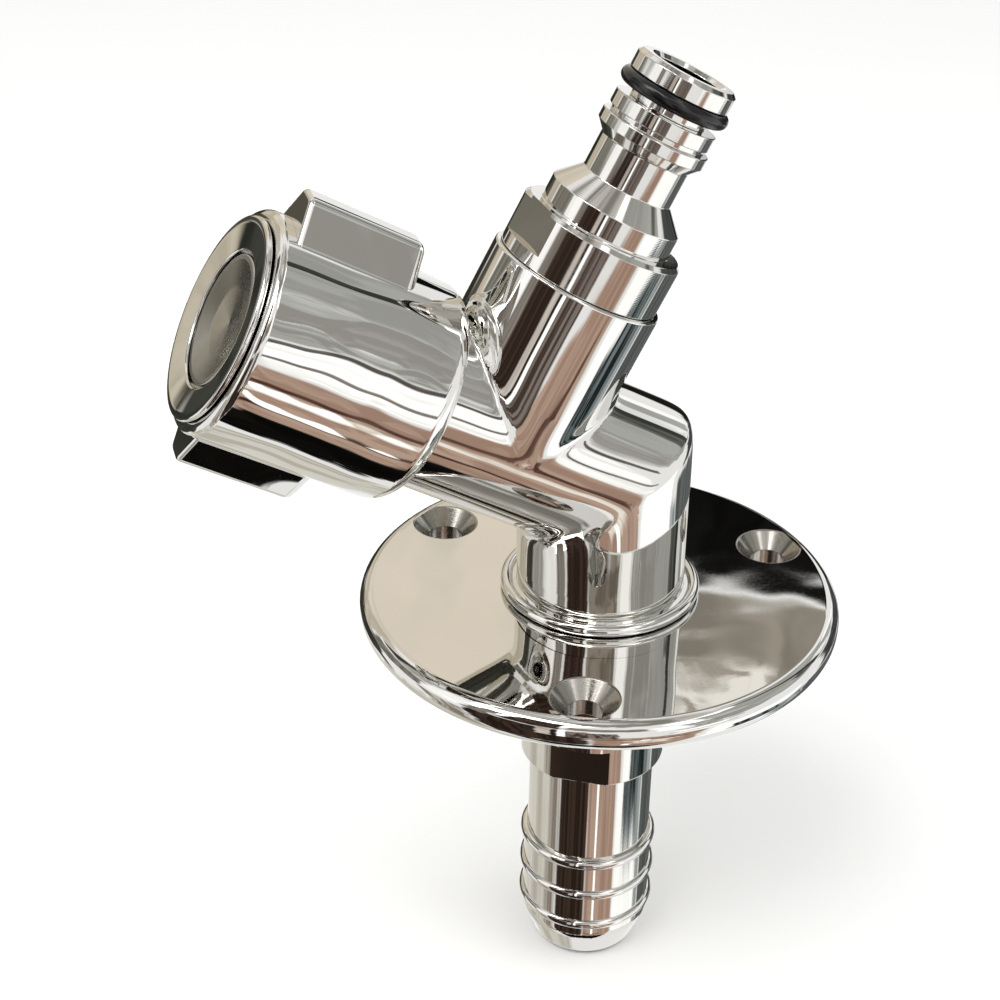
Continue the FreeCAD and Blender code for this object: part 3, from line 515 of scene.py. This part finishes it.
def makeCasting():
    skin = Skin()
    skin.soup(*castSkin())
    tube, seen = casting["tube"], casting["boreSeen"]
    beadMiddle, leadHeight = foot["top"] + foot["section"], foot["shankEnd"] + foot["lead"]
    turned(skin, [(foot["bead"], foot["top"]),
                  ("arc", foot["bead"], beadMiddle, foot["section"], -90, foot["beadTo"]),
                  (tube, beadMiddle + foot["beadRise"], 0.1), (tube, casting["columnCut"])], closed=False)
    threaded(skin, foot["shank"], foot["depth"], foot["pitch"], leadHeight, foot["top"])
    turned(skin, [(foot["bore"], foot["top"]), (foot["bore"], foot["shankEnd"], 0.2),
                  (foot["shank"] - foot["endInset"], foot["shankEnd"], 0.1),
                  (foot["shank"] - foot["leadInset"], leadHeight)], closed=False)
    rim = Skin()
    rimTop, rimBore = axes["branchHeight"], casting["branchBore"]
    turned(rim, [(casting["branch"], casting["branchCut"]), (casting["branch"], rimTop, 0.4),
                 (rimBore, rimTop), (rimBore, rimTop - seen)], closed=False)
    added(skin, rim, around(branchWay, branchFoot))
    mouth = Skin()
    mouthTop, mouthBore = casting["mouth"], casting["mouthBore"]
    turned(mouth, [(tube, casting["armCut"]), (tube, mouthTop, 0.3), (mouthBore, mouthTop),
                   (mouthBore, mouthTop - seen)], closed=False)
    added(skin, mouth, around(armWay, elbow))
    piece = skin.build("cast_body", Matrix.Identity(4), "tap", "mirror_steel", buffedSteel)
    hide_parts("body_casting")


makeCasting()
print("body casting made")

# Flange: flat polished disc with a full round rim and three countersinks

flange = {"radius": 37.0, "thick": 4.9, "edge": 2.3, "lap": 0.02, "bore": 10.55, "circle": 30.15,
          "sink": 5.05, "hole": 2.7, "softEdge": 0.5, "edgeReach": 0.45, "underBreak": 0.4, "turn": -22.5,
          "rimSteps": 180, "boreSteps": 144, "sinkSteps": 72}


def makeFlange():
    skin = Skin()
    inner = flange["radius"] - flange["edge"] - flange["lap"]
    turned(skin, [(inner, 0), (flange["radius"], 0, flange["edge"]),
                  (flange["radius"], flange["thick"], flange["edge"]), (inner, flange["thick"])],
           closed=False, segments=flange["rimSteps"])
    turned(skin, [(flange["bore"], flange["thick"]), (flange["bore"], 0)], closed=False,
           segments=flange["boreSteps"])
    spots = [math.radians(a + flange["turn"]) for a in (0, 120, 240)]
    wide = flange["sink"] + flange["softEdge"] * flange["edgeReach"]
    narrow, depth = flange["hole"] + flange["underBreak"], flange["sink"] - flange["hole"]
    skin.finish = 1  # the countersinks are as drilled
    for a in spots:
        turned(skin, [(wide, flange["thick"]), (flange["sink"], flange["thick"], flange["softEdge"]),
                      (flange["hole"], flange["thick"] - depth, 0.15), (flange["hole"], 0, 0.2), (narrow, 0)],
               closed=False, segments=flange["sinkSteps"],
               shift=(flange["circle"] * math.cos(a), flange["circle"] * math.sin(a)))
    skin.finish = 0

    def loop(centre, radius, segments):
        rays = [2 * math.pi * i / segments for i in range(segments)]
        return [centre + Vector((math.cos(a), math.sin(a))) * radius for a in rays]

    for height, hole, way in ((flange["thick"], wide, 1), (0, narrow, -1)):
        openings = [(Vector((0, 0)), flange["bore"], flange["boreSteps"])]
        openings += [(Vector((math.cos(a), math.sin(a))) * flange["circle"], hole, flange["sinkSteps"])
                     for a in spots]
        points = loop(Vector((0, 0)), inner, flange["rimSteps"]) + [p for o in openings for p in loop(*o)]
        points, _, faces, *_ = delaunay_2d_cdt(points, [], [], 0, 1e-5)
        for t in faces:
            corners = [points[i] for i in t]
            middle = sum(corners, Vector((0, 0))) / len(corners)
            if any((middle - centre).length < radius for centre, radius, _ in openings):
                continue
            if (corners[1] - corners[0]).cross(corners[2] - corners[0]) * way < 0:
                corners.reverse()
            skin.face([(p.x, p.y, height) for p in corners], [(0, 0, way)] * len(corners))
    piece = skin.build("flange_disc", onColumn(), "tap", "mirror_steel", buffedSteel, drilledSteel)
    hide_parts("flange_plate")


makeFlange()
print("flange made")

# Hose tail: collar with two flats, plain tail, three rounded ridges and a rounded nose

tail = {"bore": 6.25, "spigot": 8.3, "spigotTop": -3.0, "collarTop": -14.2, "collar": 11.45,
        "collarEnd": -25.4, "flatHeight": 6.4, "across": 20.9, "plain": 10.0, "barb": 11.05, "first": -42.2,
        "pitch": 6.2, "half": 0.9, "waist": 10.45, "noseStart": -57.2, "nose": 8.2, "end": -62.8,
        "turn": -29.4}


def makeTail():
    waist, flatTop = tail["waist"], tail["collarEnd"] + tail["flatHeight"]
    profile = [(tail["bore"], tail["spigotTop"]), (tail["bore"], tail["end"], 0.8),
               (tail["nose"], tail["end"], 2.4), (waist, tail["noseStart"], 4.0)]
    for i in (2, 1, 0):
        crest = tail["first"] - tail["pitch"] * i
        middle, above = tail["barb"] - tail["half"], waist if i else tail["plain"]
        low, high = (math.degrees(math.acos((r - middle) / tail["half"])) for r in (waist, above))
        profile.append(("arc", middle, crest, tail["half"], -low, high))
    profile += [(tail["plain"], tail["collarEnd"], 0.35), (tail["collar"], tail["collarEnd"], 0.3),
                (tail["collar"], flatTop), (tail["collar"], tail["collarTop"], 0.3),
                (tail["spigot"], tail["collarTop"]), (tail["spigot"], tail["spigotTop"], 0.3)]
    skin = Skin()
    turned(skin, profile, flats={"across": tail["across"], "turn": 0, "low": tail["collarEnd"],
                                 "high": flatTop, "on": tail["collar"], "shelf": -1})
    piece = skin.build("barbed_tail", onColumn(tail["turn"]), "tap", "turned_steel", latheSteel)
    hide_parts("hose_tail")


makeTail()

# Click nipple: collar with flats, step, cone, neck, latch ring, guide ring, seal groove and tip

nipple = {"bore": 5.0, "thread": 9.8, "reach": 11.0, "collar": 12.25, "collarTop": 8.0, "step": 9.9,
          "stepTop": 11.5, "neck": 6.8, "neckLow": 14.7, "neckTop": 20.0, "latch": 8.15, "latchLow": 21.5,
          "latchTop": 23.2, "gap": 7.15, "ringLow": 24.0, "ring": 7.7, "ringTop": 26.2, "groove": 5.7,
          "tipLow": 29.7, "tip": 7.55, "tipTop": 32.7, "bevel": 0.6, "flatLow": 2.0, "across": 22.5,
          "flatTurn": 100}
tipSeal = {"round": 1.15, "outer": 8.25, "middle": 28.5}


def makeNipple():
    n = nipple
    bevel = n["bevel"]
    skin = Skin()
    turned(skin, [(n["bore"], -n["reach"]), (n["thread"], -n["reach"], 0.4), (n["thread"], 0),
                  (n["collar"], 0, 0.2), (n["collar"], n["flatLow"]),
                  (n["collar"], n["collarTop"] - bevel, 0.15), (n["collar"] - bevel, n["collarTop"], 0.15),
                  (n["step"], n["collarTop"], 0.15), (n["step"], n["stepTop"], 0.25),
                  (n["neck"], n["neckLow"], 0.3), (n["neck"], n["neckTop"], 0.4),
                  (n["latch"], n["latchLow"], 0.2), (n["latch"], n["latchTop"], 0.2),
                  (n["gap"], n["latchTop"], 0.1), (n["gap"], n["ringLow"], 0.1),
                  (n["ring"], n["ringLow"], 0.15), (n["ring"], n["ringTop"], 0.15),
                  (n["groove"], n["ringTop"], 0.1), (n["groove"], n["tipLow"], 0.1),
                  (n["tip"], n["tipLow"], 0.15), (n["tip"], n["tipTop"] - bevel, 0.25),
                  (n["tip"] - bevel, n["tipTop"], 0.2), (n["bore"] + bevel, n["tipTop"], 0.2),
                  (n["bore"], n["tipTop"] - bevel, 0.2)],
           flats={"across": n["across"], "turn": n["flatTurn"], "low": n["flatLow"], "high": n["collarTop"],
                  "on": n["collar"], "shelf": 1})
    piece = skin.build("click_nipple", onBranch(axes["branchHeight"]), "tap", "turned_steel", latheSteel)
    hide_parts("quick_nipple")


def makeTipSeal():
    skin = Skin()
    half = tipSeal["round"]
    turned(skin, [("arc", tipSeal["outer"] - half, tipSeal["middle"], half, -180, 180)], closed=False)
    piece = skin.build("tip_o_ring", onBranch(axes["branchHeight"]), "tap", "black_rubber", nitrile)
    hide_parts("nipple_tip_seal")


makeNipple()
makeTipSeal()
print("tail and nipple made")

# Knob: shell with two lugs, dished front ring and spun insert

knob = {"radius": 16.35, "mouth": 13.2, "rearRound": 2.9, "shellFront": 30.5, "frontRound": 1.3,
        "recess": 13.55, "bed": 24.4, "webLow": 20.2, "room": 14.15, "lip": 3.0, "lugWide": 5.7,
        "lugCrest": 2.2, "lugReach": 21.1, "lugLow": 9.7, "lugHigh": 28.0, "lugRound": 1.7,
        "lugFront": 0.7, "lugFoot": 15.25, "lugHollow": 0.9,
        "hollowSteps": 6, "crestSteps": 12, "endSteps": 8}


def lugSection():
    # Half turn from the right foot over the crest to the left foot, as points and the angles of their
    # normals: the foot runs out of the shell in a small hollow
    k = knob
    flank = Vector((k["lugCrest"] - k["lugWide"], k["lugReach"] - k["lugFoot"])).normalized()
    slant = math.atan2(-flank.x, flank.y)
    out = Vector((math.cos(slant), math.sin(slant)))
    hollow = k["lugHollow"]
    base = Vector((k["lugWide"], k["lugFoot"])) + out * hollow
    across = base.dot(flank)
    along = -across + math.sqrt(across ** 2 + (k["radius"] + hollow) ** 2 - base.length_squared)
    centre = base + flank * along
    low, high = math.atan2(-centre.y, -centre.x), slant - math.pi
    points = []
    for i in range(k["hollowSteps"] + 1):
        a = low + (high - low) * i / k["hollowSteps"]
        way = Vector((math.cos(a), math.sin(a)))
        points.append((centre + way * hollow, a + math.pi))
    reach = k["lugRound"] * math.tan((math.pi / 2 - slant) / 2)
    start = Vector((k["lugCrest"], k["lugReach"])) - flank * reach
    middle = start - out * k["lugRound"]
    for i in range(k["crestSteps"] + 1):
        a = slant + (math.pi / 2 - slant) * i / k["crestSteps"]
        points.append((middle + Vector((math.cos(a), math.sin(a))) * k["lugRound"], a))
    return points + [(Vector((-p.x, p.y)), math.pi - a) for p, a in reversed(points)]


def addLug(skin, turn):
    k = knob
    section = lugSection()
    rear, front = k["lugRound"], k["lugFront"]
    quarter = [math.pi / 2 * i / k["endSteps"] for i in range(k["endSteps"] + 1)]
    rows = [(k["lugLow"] + rear * (1 - math.cos(b)), rear * (1 - math.sin(b)), b - math.pi / 2)
            for b in quarter]
    rows += [(k["lugHigh"] - front * (1 - math.cos(b)), front * (1 - math.sin(b)), math.pi / 2 - b)
             for b in reversed(quarter)]  # (height, inset, tilt of the normal towards the end)
    c, s = math.cos(turn), math.sin(turn)

    def spot(row, part):
        height, inset, up = row
        point, a = part
        way = Vector((math.cos(a), math.sin(a)))
        flat = point - way * inset
        n = way * math.cos(up)
        return ((c * flat.x - s * flat.y, s * flat.x + c * flat.y, height),
                (c * n.x - s * n.y, s * n.x + c * n.y, math.sin(up)))

    for low, high in zip(rows, rows[1:]):
        for left, right in zip(section, section[1:]):
            four = [spot(low, left), spot(low, right), spot(high, right), spot(high, left)]
            skin.face(*zip(*four))
    skin.finish = 1  # the flat ends have no wave in them
    for row, way in ((rows[0], -1), (rows[-1], 1)):
        edge = [spot(row, part)[0] for part in section]
        if way < 0:
            edge.reverse()
        skin.face(edge, [(0, 0, way)] * len(edge))
    skin.finish = 0


def makeShell():
    k = knob
    skin = Skin()
    turned(skin, [(k["mouth"], k["lip"]), (k["mouth"], 0, 0.12), (k["radius"], 0, k["rearRound"]),
                  (k["radius"], k["shellFront"], k["frontRound"]), (k["recess"], k["shellFront"], 0.2),
                  (k["recess"], k["bed"]), (0, k["bed"]), (0, k["webLow"]), (k["room"], k["webLow"]),
                  (k["room"], k["lip"])], segments=180)
    for turn in (0, math.pi):
        addLug(skin, turn)
    piece = skin.build("lugged_shell", onArm(axes["knobRear"]), "knob", "mirror_steel",
                       pressedSteel, buffedSteel)
    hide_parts("knob_shell")


ring = {"radius": 14.85, "top": 31.57, "thick": 0.95, "edge": 0.45, "crest": 13.9, "crestRound": 5.0,
        "window": 10.0, "fall": 0.6, "lip": 1.9, "spigot": 13.45, "wall": 11.25, "low": knob["bed"] + 0.1}


def makeRing():
    under = ring["top"] - ring["thick"]
    lipLow = ring["top"] - ring["fall"] - ring["lip"]
    skin = Skin()
    turned(skin, [(ring["spigot"], ring["low"]), (ring["spigot"], under),
                  (ring["radius"], under, ring["edge"]), (ring["radius"], ring["top"], ring["edge"]),
                  (ring["crest"], ring["top"], ring["crestRound"]),
                  (ring["window"], ring["top"] - ring["fall"], 0.35), (ring["window"], lipLow),
                  (ring["wall"], lipLow), (ring["wall"], ring["low"])], segments=180)
    piece = skin.build("dished_ring", onArm(axes["knobRear"]), "knob", "mirror_steel", buffedSteel)
    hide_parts("knob_front_ring")


cap = {"skirt": 11.15, "shoulder": 29.25, "neck": 9.5, "rim": 30.75, "inner": 8.7, "bend": 5.0,
       "bendLow": 30.0, "bendRound": 9.0, "middle": 29.4, "thick": 0.7, "rimFold": 1.4}


def makeCap():
    thick, low, skirt, neck = cap["thick"], knob["bed"], cap["skirt"], cap["neck"]
    skin = Skin()
    turned(skin, [(skirt, low), (skirt, cap["shoulder"], 0.3), (neck, cap["shoulder"]),
                  (neck, cap["rim"], 0.3), (cap["inner"], cap["rim"], 0.5),
                  (cap["bend"], cap["bendLow"], cap["bendRound"]), (0, cap["middle"]),
                  (0, cap["middle"] - thick), (cap["bend"], cap["bendLow"] - thick),
                  (neck - thick, cap["rim"] - thick * cap["rimFold"]),
                  (neck - thick, cap["shoulder"] - thick), (skirt - thick, cap["shoulder"] - thick),
                  (skirt - thick, low)])
    piece = skin.build("spun_cap", onArm(axes["knobRear"]), "knob", "turned_steel", spunSteel)
    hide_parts("knob_insert")


makeShell()
makeRing()
makeCap()
print("knob made")

# Pieces kept from the frame: hidden works, the back nut and the washers

keptPieces = {
    latheSteel: ["back_nut", "nut_washer", "seat_ring", "spindle_clip", "knob_screw", "knob_screw_washer"],
    barBrass: ["bonnet", "spindle", "valve_carrier", "washer_nut"],
    nitrile: ["flange_seal", "spindle_seal_inner", "spindle_seal_outer", "valve_washer"],
    redFibre: ["tail_washer", "nipple_washer", "bonnet_seal"],
    plainNylon: ["thrust_ring"],
}
keptLook = {"weld": 0.01, "broken": 0.4, "steps": 3, "breakFrom": 35, "splitFrom": 30}  # mm and degrees
for finish, names in keptPieces.items():
    for name in names:
        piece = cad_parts[name]
        piece.data.materials.clear()
        piece.data.materials.append(finish)
        for slot in piece.material_slots:
            slot.material = finish
        weld = piece.modifiers.new("Weld", "WELD")
        weld.merge_threshold = keptLook["weld"] * mm
        if name == "back_nut":  # broken edges, as on any bought nut
            bevel = piece.modifiers.new("Broken edges", "BEVEL")
            bevel.width, bevel.segments = keptLook["broken"] * mm, keptLook["steps"]
            bevel.angle_limit = math.radians(keptLook["breakFrom"])
        split = piece.modifiers.new("Hard edges", "EDGE_SPLIT")
        split.split_angle = math.radians(keptLook["splitFrom"])
print("kept pieces finished")

# Studio: pale floor, white surround, soft lamps, and boards that only the polished metal sees

floorLook = {"size": 3.0, "colour": "#FAFAF8", "roughness": 0.9, "fadeFrom": 0.45, "fadeTo": 1.0,
             "gap": 0.0002}  # metres


def makeFloor():
    # White card that runs out into the white surround, so that no horizon shows from low down
    half = floorLook["size"] / 2
    mesh = bpy.data.meshes.new("Floor")
    corners = [(-half, -half, 0), (half, -half, 0), (half, half, 0), (-half, half, 0)]
    mesh.from_pydata(corners, [], [(0, 1, 2, 3)])
    material, tree = newMaterial("White card floor")
    card = tree.nodes["Principled BSDF"]
    card.inputs["Base Color"].default_value = linear(floorLook["colour"])
    card.inputs["Roughness"].default_value = floorLook["roughness"]
    at = addNode(tree, "TexCoord").outputs["Object"]
    reach = addNode(tree, "VectorMath", {0: at}, operation="LENGTH").outputs["Value"]
    fade = addNode(tree, "MapRange",
                   {"Value": reach, "From Min": floorLook["fadeFrom"], "From Max": floorLook["fadeTo"]},
                   interpolation_type="SMOOTHSTEP").outputs[0]
    clear = addNode(tree, "BsdfTransparent").outputs[0]
    shown = addNode(tree, "MixShader", {0: fade, 1: card.outputs[0], 2: clear}).outputs[0]
    tree.links.new(shown, tree.nodes["Material Output"].inputs["Surface"])
    mesh.materials.append(material)
    floor = newObject("Floor", mesh)
    floor.location.z = cadBox[0].z - floorLook["gap"]
    floor.visible_glossy = False


makeFloor()

studioMiddle = Vector((0, -0.005, 0.02))
# Boards and windows of the room, as the polished metal sees them: from and to in azimuth, from +X towards +Y,
# and in elevation, in degrees; two colours that run into each other in streaks; how many streaks round and
# up; the soft edge in degrees; the strength where it isn't 1. Later ones stand nearer, in front.
boards = {
    "ceiling": (-180, 180, 58, 90, "#C9C6C1", "#8E8B86", 3, 2, 8),
    "cream wall": (-180, -96, -86, -32, "#DAD7CE", "#BDB9AE", 5, 2, 5, 1.1),
    "cream corner": (-102, -76, -62, -6, "#8F847B", "#CFCBC2", 4, 1, 3),
    "brown shade": (-78, -20, -60, 22, "#2A211C", "#43352D", 9, 1, 4),
    "brown wood": (-22, 31, -63, -11, "#AE8F7E", "#C6AB9A", 5, 3, 3),
    "wood seam": (-24, 24, -29, -24, "#553B33", "#6C5348", 6, 1, 1.5),
    "wood joint": (-6, 22, -37, -31, "#DDD3C6", "#F2ECE2", 6, 1, 2, 1.2),
    "wood gap": (-20, 16, -51, -46, "#3E2A20", "#5C4538", 6, 1, 2),
    "black floor": (-75, 30, -81, -58, "#0B0B0A", "#161310", 4, 1, 3),
    "light slit": (-45, -37, -22, 26, "#D6CEC6", "#B9AEA6", 1, 5, 1.5, 1.1),
    "grey door": (-36, -8, -22, 17, "#4B3F37", "#8A807A", 6, 1, 2),
    "bright slit": (-35, -30.5, -22, 26, "#FFFFFF", "#F4F1EC", 1, 3, 1, 1.6),
    "column slit": (2, 7, -36, -28, "#FFFFFF", "#F4F1EC", 1, 2, 1, 1.5),
    "tail slit": (-5.5, -1, -50, -38, "#FFFFFF", "#F4F1EC", 1, 2, 1, 1.6),
    "front floor": (-196, -126, -34, -1, "#2F302B", "#43443D", 6, 2, 4),
    "front wall": (-190, -136, -5, 5, "#3F3B34", "#5A554B", 8, 2, 3),
    "front top": (-196, -139, 1, 42, "#D6CDBB", "#C4BCAA", 5, 2, 3),
    "front post": (-180, -166, -20, 2, "#2C2A23", "#3A372F", 2, 2, 2),
    "front glow": (-151, -133, -6, 7, "#D6CDBB", "#C4BCAA", 3, 2, 3),
    "front curtain": (-139, -98, -6, 22, "#757267", "#8F8C83", 6, 1, 3),
    "window left": (-99, -78, 2, 44, "#F4F4F3", "#FFFFFF", 2, 3, 2, 1.3),
    "curtain left": (-128, -100, 22, 52, "#A9AAA7", "#C0BFBB", 5, 1, 3),
    "post left": (-140, -122, 24, 54, "#3F3C33", "#57534A", 4, 1, 3),
    "dark panel": (-66, -33, 22, 62, "#352823", "#4A3A33", 5, 2, 3),
    "panel edge": (-79, -66, 10, 50, "#7F776F", "#9A938C", 3, 2, 2),
    "beam": (-34, 8, 27, 46, "#A2978B", "#7A7068", 3, 6, 3),
    "window high": (8, 24, 18, 44, "#FFFFFF", "#FFFFFF", 1, 1, 2, 1.4),
    "shutter": (24, 38, 12, 40, "#A1A19B", "#C3C4C0", 4, 2, 2),
    "window low": (32, 82, -48, -14, "#FFFFFF", "#F2F5F5", 2, 3, 2, 1.4),
    "shaded side": (46, 92, -43.5, -33, "#23292B", "#7B8588", 5, 1, 2),
    "window side": (14, 40, -13, 12, "#FFFFFF", "#E9E9E7", 2, 3, 2, 1.35),
    "glazing bar": (16, 48, 9, 12.5, "#5F5955", "#78716C", 5, 1, 1),
    "window sill": (12, 44, -4.5, -1.5, "#77706B", "#98918C", 5, 1, 1),
    "grey wall": (38, 128, 14, 60, "#A7A8A3", "#B9BAB6", 4, 3, 4),
    "pale wall": (34, 62, 18, 50, "#BFC0BC", "#D6D6D3", 3, 3, 4),
    "grey pane": (35, 60, 17, 36, "#A19F9A", "#B0ADAA", 2, 2, 1),
    "wall edge": (94, 103, 16, 60, "#3C3D37", "#4E4F49", 1, 3, 1),
    "wall post": (84, 97, 20, 34, "#6A6C68", "#525450", 3, 1, 2),
    "pale slit": (101, 112, 16, 32, "#DFE3E3", "#F6F8F8", 2, 2, 1.5, 1.2),
    "white slit": (119, 127, 10, 32, "#FFFFFF", "#E6EAEA", 1, 2, 1.5, 1.25),
    "back shade": (94, 133, -24, 13, "#505352", "#3E4040", 6, 2, 4),
    "side shade": (127, 152, -12, 10, "#131312", "#262622", 4, 2, 3),
    "back floor": (90, 151, -52, -24, "#545857", "#6A6E6D", 7, 1, 3),
    "floor edge": (79, 91, -50, -28, "#B7BFBE", "#8E9695", 2, 1, 2),
    "grey screen": (139, 160, 31, 52, "#A79F93", "#8B857B", 3, 2, 1),
    "screen folds": (150, 158, 33, 40, "#F4F1EA", "#A59E93", 3, 5, 1.5, 1.1),
    "black screen": (142, 159, 10, 31, "#0E0E0D", "#171715", 3, 3, 1),
    "cream screen": (160, 200, 20, 52, "#EADFCF", "#DDD6C6", 3, 2, 1.5, 1.05),
}
boardLook = {"cell": 6, "farthest": 0.95, "step": 0.006, "swayScale": 0.12, "streakScale": 1.5,
             "streakCurl": 0.6, "firstAt": 0.4, "secondAt": 0.6}  # cell in degrees, distances in metres


def wayTo(azimuth, elevation):
    a, e = math.radians(azimuth), math.radians(elevation)
    return Vector((math.cos(a) * math.cos(e), math.sin(a) * math.cos(e), math.sin(e)))


def boardMesh(name, azLow, azHigh, elLow, elHigh, distance):
    columns, rows = (max(2, round(span / boardLook["cell"])) for span in (azHigh - azLow, elHigh - elLow))
    wide = columns + 1
    spots = [wayTo(azLow + (azHigh - azLow) * i / columns, elLow + (elHigh - elLow) * j / rows) * distance
             for j in range(rows + 1) for i in range(wide)]
    corners = [(j * wide + i, j * wide + i + 1, (j + 1) * wide + i + 1, (j + 1) * wide + i)
               for j in range(rows) for i in range(columns)]
    mesh = bpy.data.meshes.new(name)
    mesh.from_pydata(spots, [], corners)
    layer = mesh.uv_layers.new(name="Board")
    for loop in mesh.loops:
        layer.data[loop.index].uv = (loop.vertex_index % wide / columns, loop.vertex_index // wide / rows)
    return mesh


def boardGlow(name, size, first, second, streaksRound, streaksUp, soft, strength=1.0):
    # Light in streaks of two colours, fading out over a soft edge that sways; the size is in degrees
    material, tree = newMaterial(name)
    at = addNode(tree, "TexCoord").outputs["UV"]
    degrees = addNode(tree, "VectorMath", {0: at, 1: size}, operation="MULTIPLY").outputs[0]
    swayed = addNode(tree, "TexNoise",
                     {"Vector": degrees, "Scale": boardLook["swayScale"], "Detail": 1},
                     noise_dimensions="2D").outputs["Color"]
    for operation, value in ("ADD", (-0.5, -0.5, 0)), ("MULTIPLY", (soft * 2, soft * 2, 0)), ("ADD", degrees):
        swayed = addNode(tree, "VectorMath", {0: swayed, 1: value}, operation=operation).outputs[0]
    parts = addNode(tree, "SeparateXYZ", {0: swayed}).outputs
    inward = [addNode(tree, "Math", {0: parts[i], 1: size[i] / 2}, operation="PINGPONG").outputs[0]
              for i in (0, 1)]
    near = addNode(tree, "Math", {0: inward[0], 1: inward[1]}, operation="MINIMUM").outputs[0]
    mask = addNode(tree, "MapRange", {"Value": near, "From Max": soft},
                   interpolation_type="SMOOTHSTEP").outputs[0]
    for i in (0, 1):
        for operation, limit in ("GREATER_THAN", 0), ("LESS_THAN", size[i]):
            within = addNode(tree, "Math", {0: parts[i], 1: limit}, operation=operation).outputs[0]
            mask = addNode(tree, "Math", {0: mask, 1: within}, operation="MULTIPLY").outputs[0]
    stretched = addNode(tree, "VectorMath", {0: at, 1: (streaksRound, streaksUp, 1)},
                        operation="MULTIPLY").outputs[0]
    streak = addNode(tree, "TexNoise",
                     {"Vector": stretched, "Scale": boardLook["streakScale"], "Detail": 2,
                      "Distortion": boardLook["streakCurl"]}, noise_dimensions="2D").outputs["Fac"]
    share = addNode(tree, "MapRange", {"Value": streak, "From Min": boardLook["firstAt"],
                                                 "From Max": boardLook["secondAt"]}).outputs[0]
    ramp = addNode(tree, "ValToRGB", {"Fac": share})
    for stop, code in zip(ramp.color_ramp.elements, (first, second)):
        stop.color = linear(code)
    glow = addNode(tree, "Emission", {"Color": ramp.outputs[0], "Strength": strength}).outputs[0]
    clear = addNode(tree, "BsdfTransparent").outputs[0]
    shown = addNode(tree, "MixShader", {0: mask, 1: clear, 2: glow}).outputs[0]
    tree.links.new(shown, tree.nodes["Material Output"].inputs["Surface"])
    return material


for n, (name, (azLow, azHigh, elLow, elHigh, *look)) in enumerate(boards.items()):
    mesh = boardMesh(name, azLow, azHigh, elLow, elHigh, boardLook["farthest"] - boardLook["step"] * n)
    mesh.materials.append(boardGlow(name, (azHigh - azLow, elHigh - elLow, 1), *look))
    board = newObject(name, mesh)
    board.location = studioMiddle
    board.visible_camera = board.visible_diffuse = board.visible_shadow = board.visible_transmission = False

lamps = {"key softbox": (-60, 55, 0.9, 0.6, 5.0), "fill softbox": (60, 40, 1.0, 0.8, 3.0)}
for name, (azimuth, elevation, distance, size, watts) in lamps.items():
    light = bpy.data.lights.new(name, "AREA")
    light.size, light.energy = size, watts
    lamp = newObject(name, light)
    way = wayTo(azimuth, elevation)
    turn = way.to_track_quat("Z", "Y").to_matrix().to_4x4()
    lamp.matrix_world = Matrix.Translation(studioMiddle + way * distance) @ turn

# White surround: as bright as paper where it is seen or mirrored, dimmer where it lights dull things
surround = {"seen": 1.0, "lighting": 0.75}
world = bpy.data.worlds.new("Studio")
scene.world = world
world.use_nodes = True
tree = world.node_tree
sky = tree.nodes["Background"]
path = addNode(tree, "LightPath")
seen = path.outputs["Is Camera Ray"]
for ray in ("Is Glossy Ray", "Is Transmission Ray"):
    seen = addNode(tree, "Math", {0: seen, 1: path.outputs[ray]}, operation="MAXIMUM").outputs[0]
level = addNode(tree, "MapRange",
                {"Value": seen, "To Min": surround["lighting"], "To Max": surround["seen"]})
tree.links.new(level.outputs[0], sky.inputs["Strength"])
sky.inputs["Color"].default_value = (1, 1, 1, 1)

# Camera: near, above and a little in front of the +X side, from the fit to the photograph
view = {"azimuth": 72.14, "elevation": 28.105, "roll": 1.814, "distance": 0.3009,
        "target": (-0.00647, -0.00838, 0.02966), "focal": 2000, "centre": (540, 430), "picture": 1000}
a, e, r = (math.radians(view[k]) for k in ("azimuth", "elevation", "roll"))
back = Vector((math.sin(a) * math.cos(e), -math.cos(a) * math.cos(e), math.sin(e)))
right = Vector((math.cos(a), math.sin(a), 0))
up = back.cross(right)
right, up = right * math.cos(r) + up * math.sin(r), up * math.cos(r) - right * math.sin(r)
lens = bpy.data.cameras.new("Camera")
lens.sensor_width = 36
lens.lens = lens.sensor_width * view["focal"] / view["picture"]
lens.shift_x = (view["picture"] / 2 - view["centre"][0]) / view["picture"]
lens.shift_y = (view["centre"][1] - view["picture"] / 2) / view["picture"]
lens.clip_start = 0.01
camera = newObject("Camera", lens)
place = Matrix((right, up, back)).transposed().to_4x4()
place.translation = Vector(view["target"]) + back * view["distance"]
camera.matrix_world = place
scene.camera = camera
print("studio and camera set")
